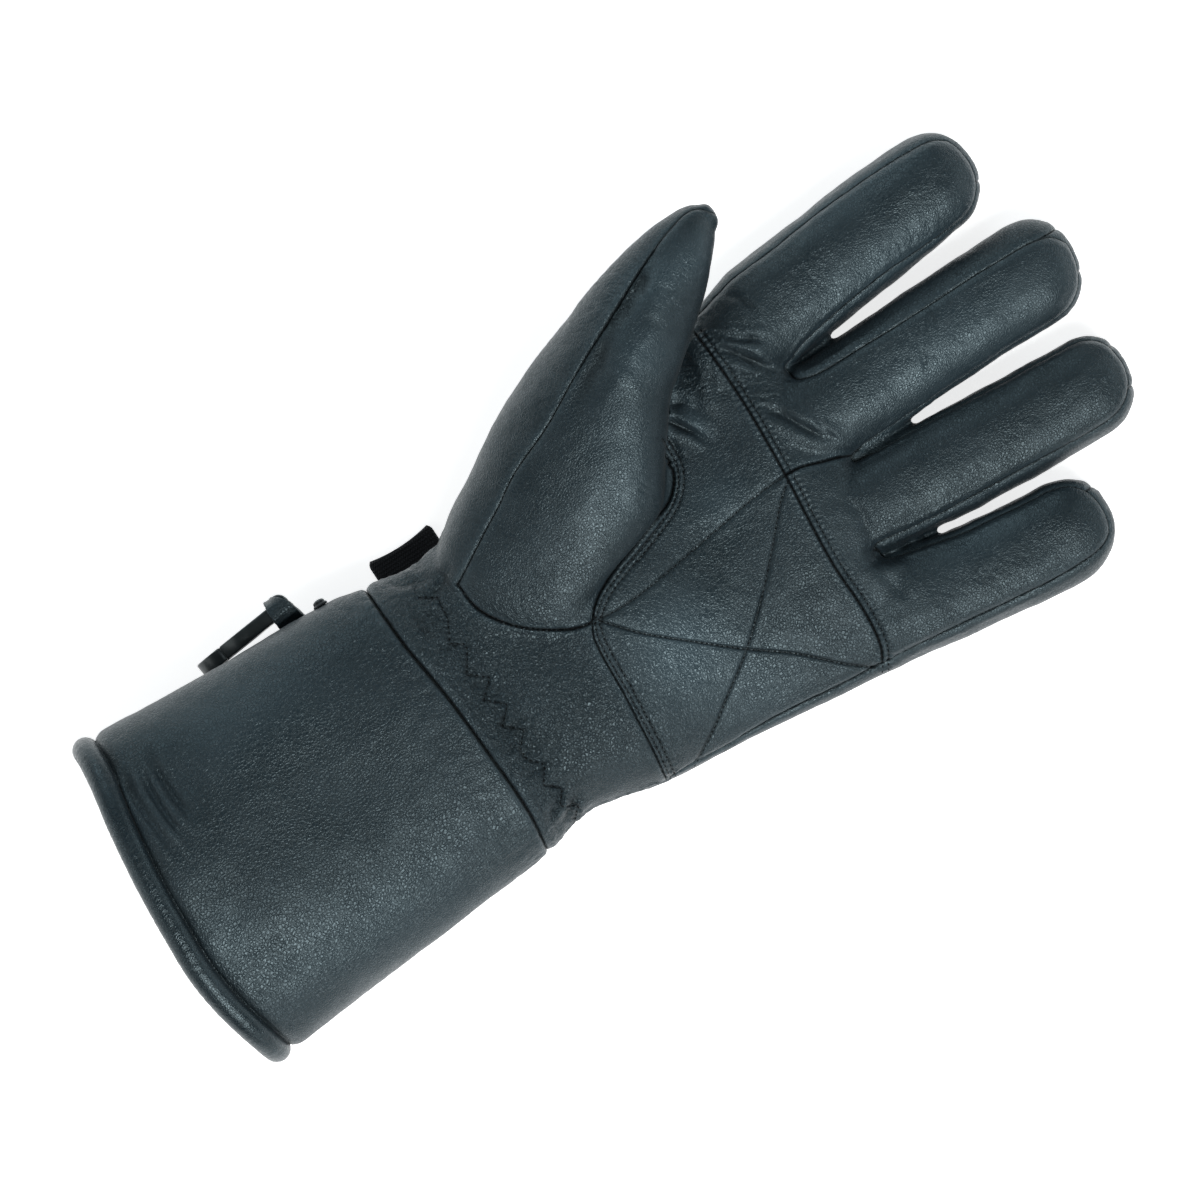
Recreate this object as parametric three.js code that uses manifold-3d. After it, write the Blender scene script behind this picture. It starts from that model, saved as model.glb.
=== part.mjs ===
// A left-hand leather gauntlet glove, lying on its back with the palm up.
// Millimetres, +Z up, fingers along +Y, thumb towards -X, standing on Z = 0.
// Every limb of the glove is a loft of rounded sections, each on a plane of constant Y.
// The limbs are joined, hollowed, and cut along the seams into the panels they are sewn from.
import * as THREE from 'three';
import { mergeVertices } from 'three/addons/utils/BufferGeometryUtils.js';
import Module from 'manifold-3d';

const wasm = await Module();
wasm.setup();

// Driving dimensions
const WALL = 2.2; // leather with its thin padding
const GAP = 0.3; // between two pieces at a seam
const HALF_GAP = GAP / 2;
const ROUNDNESS = 2.35; // superellipse exponent of every section: 2 is an ellipse
const NOSE_ROUNDNESS = 2.2; // the same for the outline of a fingertip
const NOSE_STEPS = [0.34, 0.63, 0.86, 0.98]; // places of the nose's sections, as shares of its length
const TALL = 90; // taller than the glove, for cutting blocks
const FAR = 260; // further out than the glove, for cutting blocks
const CENTRE_SHIFT = new THREE.Vector3(5.45, -5.3, 0); // brings the middle of the outline to the origin

// Sides of a section, outside and in the hollow
const PALM_SIDES = 36;
const PUCKERS = PALM_SIDES / 4; // four points to each pucker
const FINGER_SIDES = 14;
const FINGER_HOLLOW_SIDES = 12;
const THUMB_SIDES = 20;
const THUMB_HOLLOW_SIDES = 16;
const CUFF_SIDES = 30;

// Limbs. Each row is one section: its place along Y, its sides in X, and its underside and top in Z.
// An underside below zero is pressed flat on what the glove lies on.
// gather is the depth of the puckers that the wrist elastic draws in.
const PALM = [
  { y: -62, left: -41.5, right: 55.5, bottom: 2.4, top: 44.5, gather: 0.2 },
  { y: -53, left: -41, right: 54.6, bottom: 3, top: 44, gather: 0.5 },
  { y: -47, left: -39.6, right: 53, bottom: 3.9, top: 42.6, gather: 1.1 },
  { y: -42, left: -39.2, right: 51.6, bottom: 4.4, top: 41, gather: 1.3 },
  { y: -36, left: -39.8, right: 51.3, bottom: 4, top: 41, gather: 0.8 },
  { y: -27, left: -41, right: 52.8, bottom: 2.6, top: 41, gather: 0.2 },
  { y: -12, left: -44, right: 56.6, bottom: 0.4, top: 39.5, gather: 0 },
  { y: 5, left: -46.5, right: 58.2, bottom: -0.4, top: 37.5, gather: 0 },
  { y: 25, left: -48.5, right: 60.5, bottom: -0.8, top: 35, gather: 0 },
  { y: 45, left: -50, right: 63.2, bottom: -0.8, top: 33, gather: 0 },
  { y: 73, left: -57.5, right: 66.8, bottom: -0.6, top: 30, gather: 0 },
  { y: 82, left: -59.6, right: 67.6, bottom: -0.2, top: 26.8, gather: 0 },
  { y: 90, left: -58.5, right: 66.6, bottom: 0.6, top: 19, gather: 0 },
  { y: 102, left: -52, right: 60, bottom: 1.8, top: 7.4, gather: 0 },
];
// A finger's last row is where its round nose starts. tip is where the nose ends, and lean is how far
// sideways it ends.
const FINGERS = {
  index: {
    tip: 165.3,
    lean: -2.2,
    rows: [
      { y: 62, left: -54, right: -24, bottom: 3, top: 28.5 },
      { y: 82, left: -60.8, right: -27, bottom: 0.6, top: 29 },
      { y: 108, left: -63.6, right: -29.5, bottom: -0.5, top: 27.2 },
      { y: 134, left: -65.7, right: -32.8, bottom: -0.4, top: 25.8 },
      { y: 150, left: -66, right: -35, bottom: 0.4, top: 25 },
    ],
  },
  middle: {
    tip: 176.05,
    lean: -0.8,
    rows: [
      { y: 62, left: -27, right: 3, bottom: 3, top: 28.5 },
      { y: 82, left: -27.6, right: 5.4, bottom: 0.6, top: 29.4 },
      { y: 110, left: -28, right: 5.1, bottom: -0.5, top: 27.6 },
      { y: 138, left: -28, right: 4.2, bottom: -0.4, top: 26.4 },
      { y: 161, left: -27.8, right: 4.5, bottom: 0.4, top: 25.4 },
    ],
  },
  ring: {
    tip: 170.75,
    lean: -1.4,
    rows: [
      { y: 62, left: 4, right: 33, bottom: 3, top: 28 },
      { y: 82, left: 5.4, right: 36, bottom: 0.6, top: 28.8 },
      { y: 108, left: 6.9, right: 39.3, bottom: -0.5, top: 27 },
      { y: 134, left: 9.4, right: 40.4, bottom: -0.4, top: 25.7 },
      { y: 157, left: 11.2, right: 41, bottom: 0.4, top: 24.6 },
    ],
  },
  little: {
    tip: 143.25,
    lean: -2.5,
    rows: [
      { y: 62, left: 31, right: 64, bottom: 3, top: 27 },
      { y: 78, left: 34, right: 67.8, bottom: 0.6, top: 27.4 },
      { y: 100, left: 38.6, right: 71.1, bottom: -0.5, top: 25.5 },
      { y: 118, left: 41.7, right: 73.6, bottom: -0.1, top: 24.2 },
      { y: 126, left: 43, right: 74, bottom: 0.6, top: 23.8 },
    ],
  },
};
const THUMB = {
  tip: 91.6,
  lean: -3.4,
  rows: [
    { y: -35, left: -37, right: -20, bottom: 14, top: 38 },
    { y: -26, left: -44.6, right: -8, bottom: 8, top: 42.5 },
    { y: -12, left: -53, right: 0, bottom: 6, top: 45 },
    { y: 3, left: -62, right: 0, bottom: 6, top: 47 },
    { y: 18, left: -68.8, right: -5, bottom: 7, top: 49 },
    { y: 30, left: -73.3, right: -12, bottom: 9.5, top: 50 },
    { y: 41, left: -77.1, right: -27, bottom: 14, top: 50.5 },
    { y: 51, left: -80.2, right: -39.3, bottom: 19, top: 50 },
    { y: 62, left: -83.1, right: -48.2, bottom: 22.5, top: 48.5 },
    { y: 72, left: -84.7, right: -56.2, bottom: 24.5, top: 46.5 },
    { y: 78, left: -85, right: -61.5, bottom: 25.6, top: 45.2 },
    { y: 84.5, left: -84.8, right: -69.2, bottom: 28, top: 42.4 },
  ],
};
const CUFF = [
  { y: -168, left: -50.6, right: 64.6, bottom: 1.5, top: 55.2 },
  { y: -152, left: -48.9, right: 62.9, bottom: 1.1, top: 54.4 },
  { y: -140, left: -47.8, right: 61.8, bottom: 0.2, top: 53.4 },
  { y: -122, left: -46.4, right: 60.4, bottom: -0.8, top: 51.8 },
  { y: -104, left: -45.4, right: 59, bottom: -0.6, top: 50 },
  { y: -84, left: -44.9, right: 57.4, bottom: 0, top: 48 },
  { y: -68, left: -43.8, right: 56.2, bottom: 0.8, top: 46.5 },
  { y: -58, left: -41.8, right: 55.4, bottom: 2, top: 45.2 },
  { y: -46, left: -40.6, right: 54, bottom: 3.2, top: 44 },
];

// Dents in the upper side of the leather, each a round dip that fades out at its reach.
const PALM_DENTS = [
  { x: 16, y: 30, reach: 27, depth: 2.6 }, // the hollow of the palm
  { x: -22, y: 50, reach: 13, depth: 3.2 }, // the web beside the thumb
  { x: -36, y: 76, reach: 12, depth: 1.6 }, // the crease below the index finger
  { x: -6, y: 80, reach: 9, depth: 1.6 }, // the crease below the middle finger
  { x: 34, y: -22, reach: 16, depth: 1 }, // the heel of the hand
];
const CUFF_DENTS = [
  { x: -24, y: -140, reach: 14, depth: 2.8 },
  { x: 2, y: -96, reach: 22, depth: 1.8 },
  { x: 26, y: -152, reach: 14, depth: 1.6 },
  { x: -30, y: -76, reach: 15, depth: 1.4 },
];

// Seams across the hand: y at each x.
const MOUTH_SEAM = [
  { x: -48, y: -151 },
  { x: -38, y: -152 },
  { x: -20, y: -155.5 },
  { x: 0, y: -157.8 },
  { x: 20, y: -157.8 },
  { x: 40, y: -155.7 },
  { x: 60, y: -151.2 },
];
const CUFF_SEAM = [
  { x: -41, y: -57 },
  { x: -20, y: -56 },
  { x: 0, y: -53.6 },
  { x: 22, y: -52.2 },
  { x: 40, y: -52 },
  { x: 55, y: -53.5 },
];
const HEEL_SEAM = [
  { x: 3, y: -5 },
  { x: 8, y: -7.5 },
  { x: 18, y: -8.8 },
  { x: 36, y: -10 },
  { x: 57, y: -12.5 },
];
const FINGER_SEAM = [
  { x: -52, y: 68 },
  { x: -30, y: 69 },
  { x: 0, y: 67.6 },
  { x: 16, y: 65.8 },
  { x: 50, y: 65 },
  { x: 63, y: 60.5 },
];
// Seams along the hand: x at each y. The first parts the two finger panels, the second the thumb's.
const SPLIT_SEAM = [
  { x: -1, y: 70 },
  { x: 1, y: 77 },
  { x: 5.2, y: 87 },
  { x: 6, y: 110 },
];
const THUMB_SEAM = [
  { x: -27.6, y: -45 },
  { x: -28, y: -32 },
  { x: -40, y: -10 },
  { x: -46.5, y: 1 },
  { x: -53, y: 16 },
  { x: -60, y: 30 },
  { x: -66, y: 42 },
  { x: -72, y: 55 },
  { x: -77, y: 66 },
  { x: -81, y: 77 },
  { x: -82.5, y: 84 },
];
// The inner edge of the thumb panel, round the ball of the thumb from the wrist to the web.
const THUMB_BASE = [
  { x: -28, y: -32 },
  { x: -15, y: -30.5 },
  { x: -8, y: -25 },
  { x: -2, y: -19 },
  { x: 4, y: -6 },
  { x: -2, y: 2 },
  { x: -7, y: 17 },
  { x: -10, y: 26 },
  { x: -13, y: 33 },
  { x: -17, y: 37.5 },
  { x: -22, y: 40 },
  { x: -30, y: 40.5 },
];
// Side seams: height at each y.
const SIDE_SEAM = [
  { y: -60, z: 23 },
  { y: 20, z: 22.4 },
  { y: 100, z: 21.5 },
  { y: 170, z: 20.6 },
];
const THUMB_SIDE_SEAM = [
  { y: -10, z: 23 },
  { y: 20, z: 26 },
  { y: 50, z: 33 },
  { y: 85, z: 36.5 },
];

// The gussets between the fingers
const GUSSET_BOTTOM = 4.6; // height of their lower seam
const GUSSET_INSET = 0.45; // how far past a finger's middle its gusset starts, in half-widths
const GUSSET_START = 79; // they start behind the forks of the fingers

// The rolled rim of the cuff
const PIPING_RADIUS = 3.6;
const PIPING_STEPS = 32;
const PIPING_SIDES = 8;
const PIPING_PROUD = 1.3; // how far it stands out past the cuff

// The webbing strap across the back of the wrist
const STRAP_THICKNESS = 1.9;
const STRAP_START = -53; // its two long edges, in Y
const STRAP_END = -31;
const STRAP_LINE = [
  { x: -47.5, z: 1.6 },
  { x: -40, z: 1.35 },
  { x: -24, z: 1.3 },
  { x: 28, z: 1.3 },
  { x: 38, z: 3.2 },
  { x: 44, z: 6 },
  { x: 48.5, z: 9.4 },
];

// The moulded clip on the thumb side of the cuff. u runs along it from its eye, v across it.
const CLIP_EYE_END = new THREE.Vector3(-50.4, -80.5, 12);
const CLIP_TURN = Math.atan2(-26, 2.7); // where it points, in plan
const CLIP_THICKNESS = 4.6;
const CLIP_WALL = 2.6;
const CLIP_LENGTH = 31.8;
const CLIP_HALF = 7; // half its height over the hook
const CLIP_CORNER = 2.4; // radius of its corners at the eye
const EYE_HALF = 5.6; // half its height at the eye
const EYE_LENGTH = 9.4;
const EYE_RAIL = 2; // the rails above and below the eye's hole
const EYE_HOLE_CORNER = 1.2;
const HOOK_START = 12.4; // where the hook is at its full height
const HOOK_HOLE_START = 10.6;
const HOOK_HOLE_CORNER = 3.6;
const GATE_SLIT = { u: 23, width: 0.8 }; // parts the gate's free end from the hook's nose

// The leather loop that ties the clip to the cuff, in plan: u along the clip, n towards the cuff.
const LOOP_HALF_WIDTH = 2.8;
const LOOP_OUTLINE = [
  { u: -4.8, n: 14 },
  { u: -3.6, n: 5 },
  { u: -2.7, n: 0 },
  { u: -1.5, n: -3.9 },
  { u: 1.4, n: -5 },
  { u: 4.2, n: -3.9 },
  { u: 5.2, n: 0 },
  { u: 5.5, n: 5 },
  { u: 5.9, n: 14 },
];
const LOOP_HOLE = [
  { u: -0.7, n: -2 },
  { u: 1.3, n: -3.1 },
  { u: 3.2, n: -2 },
  { u: 3.4, n: 2 },
  { u: 3.2, n: 7 },
  { u: 1, n: 9.5 },
  { u: -1.2, n: 7 },
  { u: -0.9, n: 2 },
];

// The stud on the thumb side of the cuff
const STUD = { y: -71, z: 24, radius: 2, height: 1.8, sides: 16 };

// Finishes
const LEATHER = { color: 0x262d31, roughness: 0.52, metalness: 0 };
const RIM_LEATHER = { color: 0x1f2529, roughness: 0.5, metalness: 0 };
const WEBBING = { color: 0x121417, roughness: 0.92, metalness: 0 };
const PLASTIC = { color: 0x0d0f11, roughness: 0.28, metalness: 0 };
const LACQUERED_METAL = { color: 0x15181a, roughness: 0.4, metalness: 0.6 };

// Sections
const signedPower = (value, power) => Math.sign(value) * Math.abs(value) ** power;

// The value of one column at y, on a smooth curve through the rows of a table.
function columnAt(rows, column, y) {
  const last = rows.length - 1;
  const next = rows.findIndex((row) => row.y > y);
  const i = next === -1 ? last - 1 : Math.max(0, next - 1);
  const at = (k) => rows[Math.min(last, Math.max(0, k))];
  const slope = (k) => (at(k + 1)[column] - at(k - 1)[column]) / (at(k + 1).y - at(k - 1).y);
  const span = rows[i + 1].y - rows[i].y;
  const t = (y - rows[i].y) / span;
  const start = rows[i][column] * (1 + 2 * t) * (1 - t) ** 2 + slope(i) * span * t * (1 - t) ** 2;
  const end = rows[i + 1][column] * (3 - 2 * t) * t ** 2 - slope(i + 1) * span * (1 - t) * t ** 2;
  return start + end;
}

// The section of a limb at y.
function sectionAt(rows, y) {
  const section = { y };
  for (const column of ['left', 'right', 'bottom', 'top']) section[column] = columnAt(rows, column, y);
  return section;
}

// One section as a ring of points: pulled in by inset, shrunk by scale, puckered by gather.
function ringAt({ y, left, right, bottom, top, gather = 0 }, sides, inset = 0, scale = 1) {
  const halfWidth = ((right - left) / 2 - inset) * scale;
  const halfHeight = ((top - bottom) / 2 - inset) * scale;
  return Array.from({ length: sides }, (_, k) => {
    const angle = (2 * Math.PI * k) / sides;
    const pucker = 1 + (gather * Math.cos(PUCKERS * angle)) / halfHeight;
    const x = (left + right) / 2 + halfWidth * pucker * signedPower(Math.cos(angle), 2 / ROUNDNESS);
    const z = (bottom + top) / 2 + halfHeight * pucker * signedPower(Math.sin(angle), 2 / ROUNDNESS);
    return new THREE.Vector3(x, y, Math.max(0, z));
  });
}

// Presses the dents into the upper half of a ring.
function dented(ring, dents) {
  const middle = ring.reduce((sum, point) => sum + point.z, 0) / ring.length;
  const crest = Math.max(...ring.map((point) => point.z)) - middle;
  for (const point of ring) {
    const share = Math.max(0, (point.z - middle) / crest);
    for (const { x, y, reach, depth } of dents) {
      const away = Math.hypot(point.x - x, point.y - y) / reach;
      point.z -= depth * share * Math.exp(-(away ** 2));
    }
  }
  return ring;
}

// Solids
function solidOf(geometry) {
  const bare = geometry.clone();
  bare.deleteAttribute('normal');
  bare.deleteAttribute('uv');
  const merged = mergeVertices(bare, 1e-4);
  const vertProperties = new Float32Array(merged.attributes.position.array);
  const triVerts = new Uint32Array(merged.index.array);
  return new wasm.Manifold(new wasm.Mesh({ numProp: 3, vertProperties, triVerts }));
}

// Rings of equal length, joined side by side. The ends are closed, or joined to each other.
function solidOfRings(rings, endless = false) {
  const sides = rings[0].length;
  const last = rings.length - 1;
  const points = rings.flat();
  const faces = [];
  const index = (ring, k) => (ring % rings.length) * sides + (k % sides);
  for (let i = 0; i < (endless ? rings.length : last); i++) {
    for (let k = 0; k < sides; k++) {
      faces.push(index(i, k), index(i + 1, k), index(i, k + 1));
      faces.push(index(i, k + 1), index(i + 1, k), index(i + 1, k + 1));
    }
  }
  if (!endless) {
    const middleOf = (ring) => ring.reduce((sum, p) => sum.add(p), new THREE.Vector3()).divideScalar(sides);
    points.push(middleOf(rings[0]), middleOf(rings[last]));
    for (let k = 0; k < sides; k++) {
      faces.push(points.length - 2, index(0, k), index(0, k + 1));
      faces.push(points.length - 1, index(last, k + 1), index(last, k));
    }
  }
  const geometry = new THREE.BufferGeometry().setFromPoints(points);
  geometry.setIndex(faces);
  return solidOf(geometry);
}

// The palm and the cuff: a loft through every row.
function sleeve(rows, sides, inset, dents) {
  return solidOfRings(rows.map((row) => dented(ringAt(row, sides, inset), dents)));
}

// The hollow of a sleeve, which runs out past the end where the arm goes in.
function sleeveHollow(rows, sides, dents) {
  const mouth = { ...rows[0], y: rows[0].y - 1 };
  const end = { ...rows.at(-1), y: rows.at(-1).y - WALL };
  return sleeve([mouth, ...rows.slice(1, -1), end], sides, WALL, dents);
}

// A finger or the thumb: a loft that closes in a round nose.
function digit({ rows, tip, lean }, sides, inset = 0) {
  const start = rows.at(-1);
  const body = rows.map((row) => ringAt(row, sides, inset));
  const nose = NOSE_STEPS.map((step) => {
    const scale = (1 - step ** NOSE_ROUNDNESS) ** (1 / NOSE_ROUNDNESS);
    const aside = lean * step ** 2;
    const y = start.y + (tip - start.y - inset) * step;
    return ringAt({ ...start, y, left: start.left + aside, right: start.right + aside }, sides, inset, scale);
  });
  return solidOfRings([...body, ...nose]);
}

// Cutting blocks
// An outline moved outwards by a distance, or inwards by a negative one.
function grown(outline, distance) {
  const points = outline.map(({ x, y }) => new THREE.Vector2(x, y));
  if (THREE.ShapeUtils.isClockWise(points)) points.reverse();
  return points.map((point, i) => {
    const along = point.clone().sub(points.at(i - 1)).normalize();
    const onward = points[(i + 1) % points.length].clone().sub(point).normalize();
    const mitre = distance / (1 + along.dot(onward));
    return new THREE.Vector2(point.x + (along.y + onward.y) * mitre, point.y - (along.x + onward.x) * mitre);
  });
}

// A block with this outline in X and Y.
function block(outline, clearance, low = -TALL, high = TALL) {
  const shape = new THREE.Shape(grown(outline, clearance));
  const geometry = new THREE.ExtrudeGeometry(shape, { depth: high - low, bevelEnabled: false });
  return solidOf(geometry.translate(0, 0, low));
}

// Everything on the finger side of a seam that runs across the hand.
function beyond(seam, clearance) {
  const [first, last] = [seam[0], seam.at(-1)];
  const ends = [{ x: FAR, y: last.y }, { x: FAR, y: FAR }, { x: -FAR, y: FAR }, { x: -FAR, y: first.y }];
  return block([...seam, ...ends], clearance);
}

// Everything on the +X side of a seam that runs along the hand.
function rightOf(seam, clearance) {
  const [first, last] = [seam[0], seam.at(-1)];
  const ends = [{ x: last.x, y: FAR }, { x: FAR, y: FAR }, { x: FAR, y: -FAR }, { x: first.x, y: -FAR }];
  return block([...seam, ...ends], clearance);
}

// Everything above a side seam.
function above(seam, clearance) {
  const [first, last] = [seam[0], seam.at(-1)];
  const line = [{ x: -FAR, y: first.z }, ...seam.map(({ y, z }) => ({ x: y, y: z })), { x: FAR, y: last.z }];
  const outline = [...line, { x: FAR, y: TALL }, { x: -FAR, y: TALL }];
  const shape = new THREE.Shape(grown(outline, clearance));
  const geometry = new THREE.ExtrudeGeometry(shape, { depth: 2 * FAR, bevelEnabled: false });
  const standUp = new THREE.Matrix4().makeBasis(
    new THREE.Vector3(0, 1, 0),
    new THREE.Vector3(0, 0, 1),
    new THREE.Vector3(1, 0, 0),
  );
  return solidOf(geometry.translate(0, 0, -FAR).applyMatrix4(standUp));
}

// The whole hand with its thumb, as one hollow shell
const fingers = Object.values(FINGERS);
const joined = (solids) => solids.reduce((sum, solid) => sum.add(solid));
const outside = joined([
  sleeve(PALM, PALM_SIDES, 0, PALM_DENTS),
  ...fingers.map((finger) => digit(finger, FINGER_SIDES)),
  digit(THUMB, THUMB_SIDES),
]);
const hollow = joined([
  sleeveHollow(PALM, PALM_SIDES, PALM_DENTS),
  ...fingers.map((finger) => digit(finger, FINGER_HOLLOW_SIDES, WALL)),
  digit(THUMB, THUMB_HOLLOW_SIDES, WALL),
]);
const shell = outside.subtract(hollow).intersect(beyond(CUFF_SEAM, -HALF_GAP));

// What belongs to the thumb: the thumb itself, up to the seam round its ball, and all that the ball's
// outline covers above the side seam.
function thumbRegion(clearance) {
  const [first, last] = [THUMB_BASE[0], THUMB_BASE.at(-1)];
  const ball = [...THUMB_BASE, { x: -FAR, y: last.y }, { x: -FAR, y: first.y }];
  const palmBeside = [...THUMB_BASE, { x: FAR, y: last.y }, { x: FAR, y: -FAR }, { x: first.x, y: -FAR }];
  return digit(THUMB, THUMB_SIDES, -clearance)
    .subtract(block(palmBeside, -clearance))
    .add(block(ball, clearance).intersect(above(SIDE_SEAM, clearance)));
}

// Between two fingers, from a little past the middle of one to the same place on the other.
function gussetBlock(finger, neighbour, clearance) {
  const edge = ({ rows, tip }, side) => {
    const rowPlaces = rows.map((row) => row.y).filter((y) => y > GUSSET_START + WALL);
    return [GUSSET_START, ...rowPlaces, tip + WALL].map((y) => {
      const { left, right } = sectionAt(rows, Math.min(y, rows.at(-1).y));
      return { x: (left + right) / 2 + (side * GUSSET_INSET * (right - left)) / 2, y };
    });
  };
  const outline = [...edge(finger, 1), ...edge(neighbour, -1).reverse()];
  return block(outline, clearance, GUSSET_BOTTOM - clearance);
}

// Panels
const thumb = shell.intersect(thumbRegion(-HALF_GAP));
const hand = shell.subtract(thumbRegion(HALF_GAP));
const palmSide = hand.intersect(above(SIDE_SEAM, -HALF_GAP));
const backSide = hand.subtract(above(SIDE_SEAM, HALF_GAP));
const fingerFronts = palmSide.intersect(beyond(FINGER_SEAM, -HALF_GAP));
const palmFront = palmSide.subtract(beyond(FINGER_SEAM, HALF_GAP));

function thumbFrontRegion(clearance) {
  return rightOf(THUMB_SEAM, clearance).intersect(above(THUMB_SIDE_SEAM, clearance));
}

// One cut of leather covers the palm side of the wrist and runs on up the outer side of the thumb.
function wristThumbPanel() {
  const turn = THUMB_BASE[0];
  const [near, far] = [turn.y - 2 * GAP, turn.y + 2 * GAP];
  const across = [{ x: -FAR, y: near }, { x: turn.x, y: near }, { x: turn.x, y: far }, { x: -FAR, y: far }];
  return joined([
    palmFront.subtract(beyond(HEEL_SEAM, HALF_GAP)),
    shell.intersect(block(across, -HALF_GAP)).intersect(above(SIDE_SEAM, -HALF_GAP)),
    thumb.subtract(thumbFrontRegion(HALF_GAP)),
  ]);
}

const { index, middle, ring, little } = FINGERS;
const forks = { index_middle: [index, middle], middle_ring: [middle, ring], ring_little: [ring, little] };
const gussets = Object.entries(forks).map(([fork, pair]) => [
  `gusset_${fork}`,
  backSide.intersect(gussetBlock(...pair, -HALF_GAP)),
]);
const gussetSpace = joined(Object.values(forks).map((pair) => gussetBlock(...pair, HALF_GAP)));

// The cuff, open at both ends
function cuffPanel() {
  const [mouth, ...rest] = CUFF;
  const wrist = rest.pop();
  const bore = [{ ...mouth, y: mouth.y - 1 }, ...rest, { ...wrist, y: wrist.y + 1 }];
  return sleeve(CUFF, CUFF_SIDES, 0, CUFF_DENTS)
    .subtract(sleeve(bore, CUFF_SIDES, WALL, CUFF_DENTS))
    .intersect(beyond(MOUTH_SEAM, -HALF_GAP))
    .subtract(beyond(CUFF_SEAM, HALF_GAP));
}

// Where a seam across the hand lies at x.
function seamAt(seam, x) {
  const after = seam.findIndex((point) => point.x > x);
  if (after === 0) return seam[0].y;
  if (after === -1) return seam.at(-1).y;
  const [a, b] = [seam[after - 1], seam[after]];
  return a.y + ((b.y - a.y) * (x - a.x)) / (b.x - a.x);
}

// A round tube that follows the section of the cuff just outside its mouth.
function pipingRing() {
  const path = ringAt(sectionAt(CUFF, MOUTH_SEAM[0].y), PIPING_STEPS, PIPING_RADIUS - PIPING_PROUD);
  for (const point of path) {
    point.y = seamAt(MOUTH_SEAM, point.x) - PIPING_RADIUS - HALF_GAP;
    point.z = Math.max(PIPING_RADIUS, point.z);
  }
  const rings = path.map((point, i) => {
    const along = path[(i + 1) % PIPING_STEPS].clone().sub(path.at(i - 1)).normalize();
    const forward = new THREE.Vector3(0, 1, 0).addScaledVector(along, -along.y).normalize();
    const outward = new THREE.Vector3().crossVectors(along, forward);
    return Array.from({ length: PIPING_SIDES }, (_, k) => {
      const angle = (2 * Math.PI * k) / PIPING_SIDES;
      return point
        .clone()
        .addScaledVector(outward, PIPING_RADIUS * Math.cos(angle))
        .addScaledVector(forward, PIPING_RADIUS * Math.sin(angle));
    });
  });
  return solidOfRings(rings, true);
}

function strapBand() {
  const half = STRAP_THICKNESS / 2;
  return solidOfRings(
    STRAP_LINE.map(({ x, z }) => [
      new THREE.Vector3(x, STRAP_START, z + half),
      new THREE.Vector3(x, STRAP_END, z + half),
      new THREE.Vector3(x, STRAP_END, z - half),
      new THREE.Vector3(x, STRAP_START, z - half),
    ]),
  );
}

// The clip lies in the plane of u and v: an eye, then a hook whose upper rail is slit to make a springy gate.
function clipBody() {
  const nose = CLIP_LENGTH - CLIP_HALF;
  const outline = new THREE.Shape();
  outline.moveTo(CLIP_CORNER, -EYE_HALF).lineTo(EYE_LENGTH, -EYE_HALF).lineTo(HOOK_START, -CLIP_HALF);
  outline.absarc(nose, 0, CLIP_HALF, -Math.PI / 2, Math.PI / 2);
  outline.lineTo(HOOK_START, CLIP_HALF).lineTo(EYE_LENGTH, EYE_HALF);
  outline.absarc(CLIP_CORNER, EYE_HALF - CLIP_CORNER, CLIP_CORNER, Math.PI / 2, Math.PI);
  outline.absarc(CLIP_CORNER, CLIP_CORNER - EYE_HALF, CLIP_CORNER, Math.PI, (3 * Math.PI) / 2);
  outline.holes = [
    slot(CLIP_WALL, EYE_LENGTH - CLIP_WALL, EYE_HALF - EYE_RAIL, EYE_HOLE_CORNER),
    slot(HOOK_HOLE_START, CLIP_LENGTH - CLIP_WALL, CLIP_HALF - CLIP_WALL, HOOK_HOLE_CORNER),
  ];
  const body = new THREE.ExtrudeGeometry(outline, {
    depth: CLIP_THICKNESS,
    bevelEnabled: false,
    curveSegments: 4,
  });
  const slit = new THREE.BoxGeometry(GATE_SLIT.width, CLIP_HALF, 2 * CLIP_THICKNESS);
  slit.translate(GATE_SLIT.u, CLIP_HALF, CLIP_THICKNESS / 2);
  return solidOf(body).subtract(solidOf(slit));
}

// A slot with rounded corners, as a hole in an outline.
function slot(from, to, half, radius) {
  const hole = new THREE.Path();
  hole.absarc(to - radius, half - radius, radius, 0, Math.PI / 2);
  hole.absarc(from + radius, half - radius, radius, Math.PI / 2, Math.PI);
  hole.absarc(from + radius, radius - half, radius, Math.PI, (3 * Math.PI) / 2);
  hole.absarc(to - radius, radius - half, radius, (3 * Math.PI) / 2, 2 * Math.PI);
  return hole;
}

// The loop goes through the eye and round its end bar, and both its ends meet the cuff.
function clipLoop() {
  const pointsOf = (table) => table.map(({ u, n }) => new THREE.Vector2(u, n));
  const outline = new THREE.Shape(new THREE.SplineCurve(pointsOf(LOOP_OUTLINE)).getPoints(20));
  const hole = pointsOf([...LOOP_HOLE, LOOP_HOLE[0]]);
  outline.holes = [new THREE.Path(new THREE.SplineCurve(hole).getPoints(16))];
  const strip = new THREE.ExtrudeGeometry(outline, { depth: 2 * LOOP_HALF_WIDTH, bevelEnabled: false });
  strip.translate(0, 0, -LOOP_HALF_WIDTH).rotateZ(CLIP_TURN);
  strip.translate(...CLIP_EYE_END.toArray());
  return solidOf(strip).subtract(sleeve(CUFF, CUFF_SIDES, -GAP, CUFF_DENTS));
}

function studHead() {
  const { radius, height, sides } = STUD;
  const profile = [
    new THREE.Vector2(0, 0),
    new THREE.Vector2(radius, 0),
    new THREE.Vector2(radius, 0.35 * height),
    new THREE.Vector2(0.72 * radius, 0.82 * height),
    new THREE.Vector2(0, height),
  ];
  return solidOf(new THREE.LatheGeometry(profile, sides));
}

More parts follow.
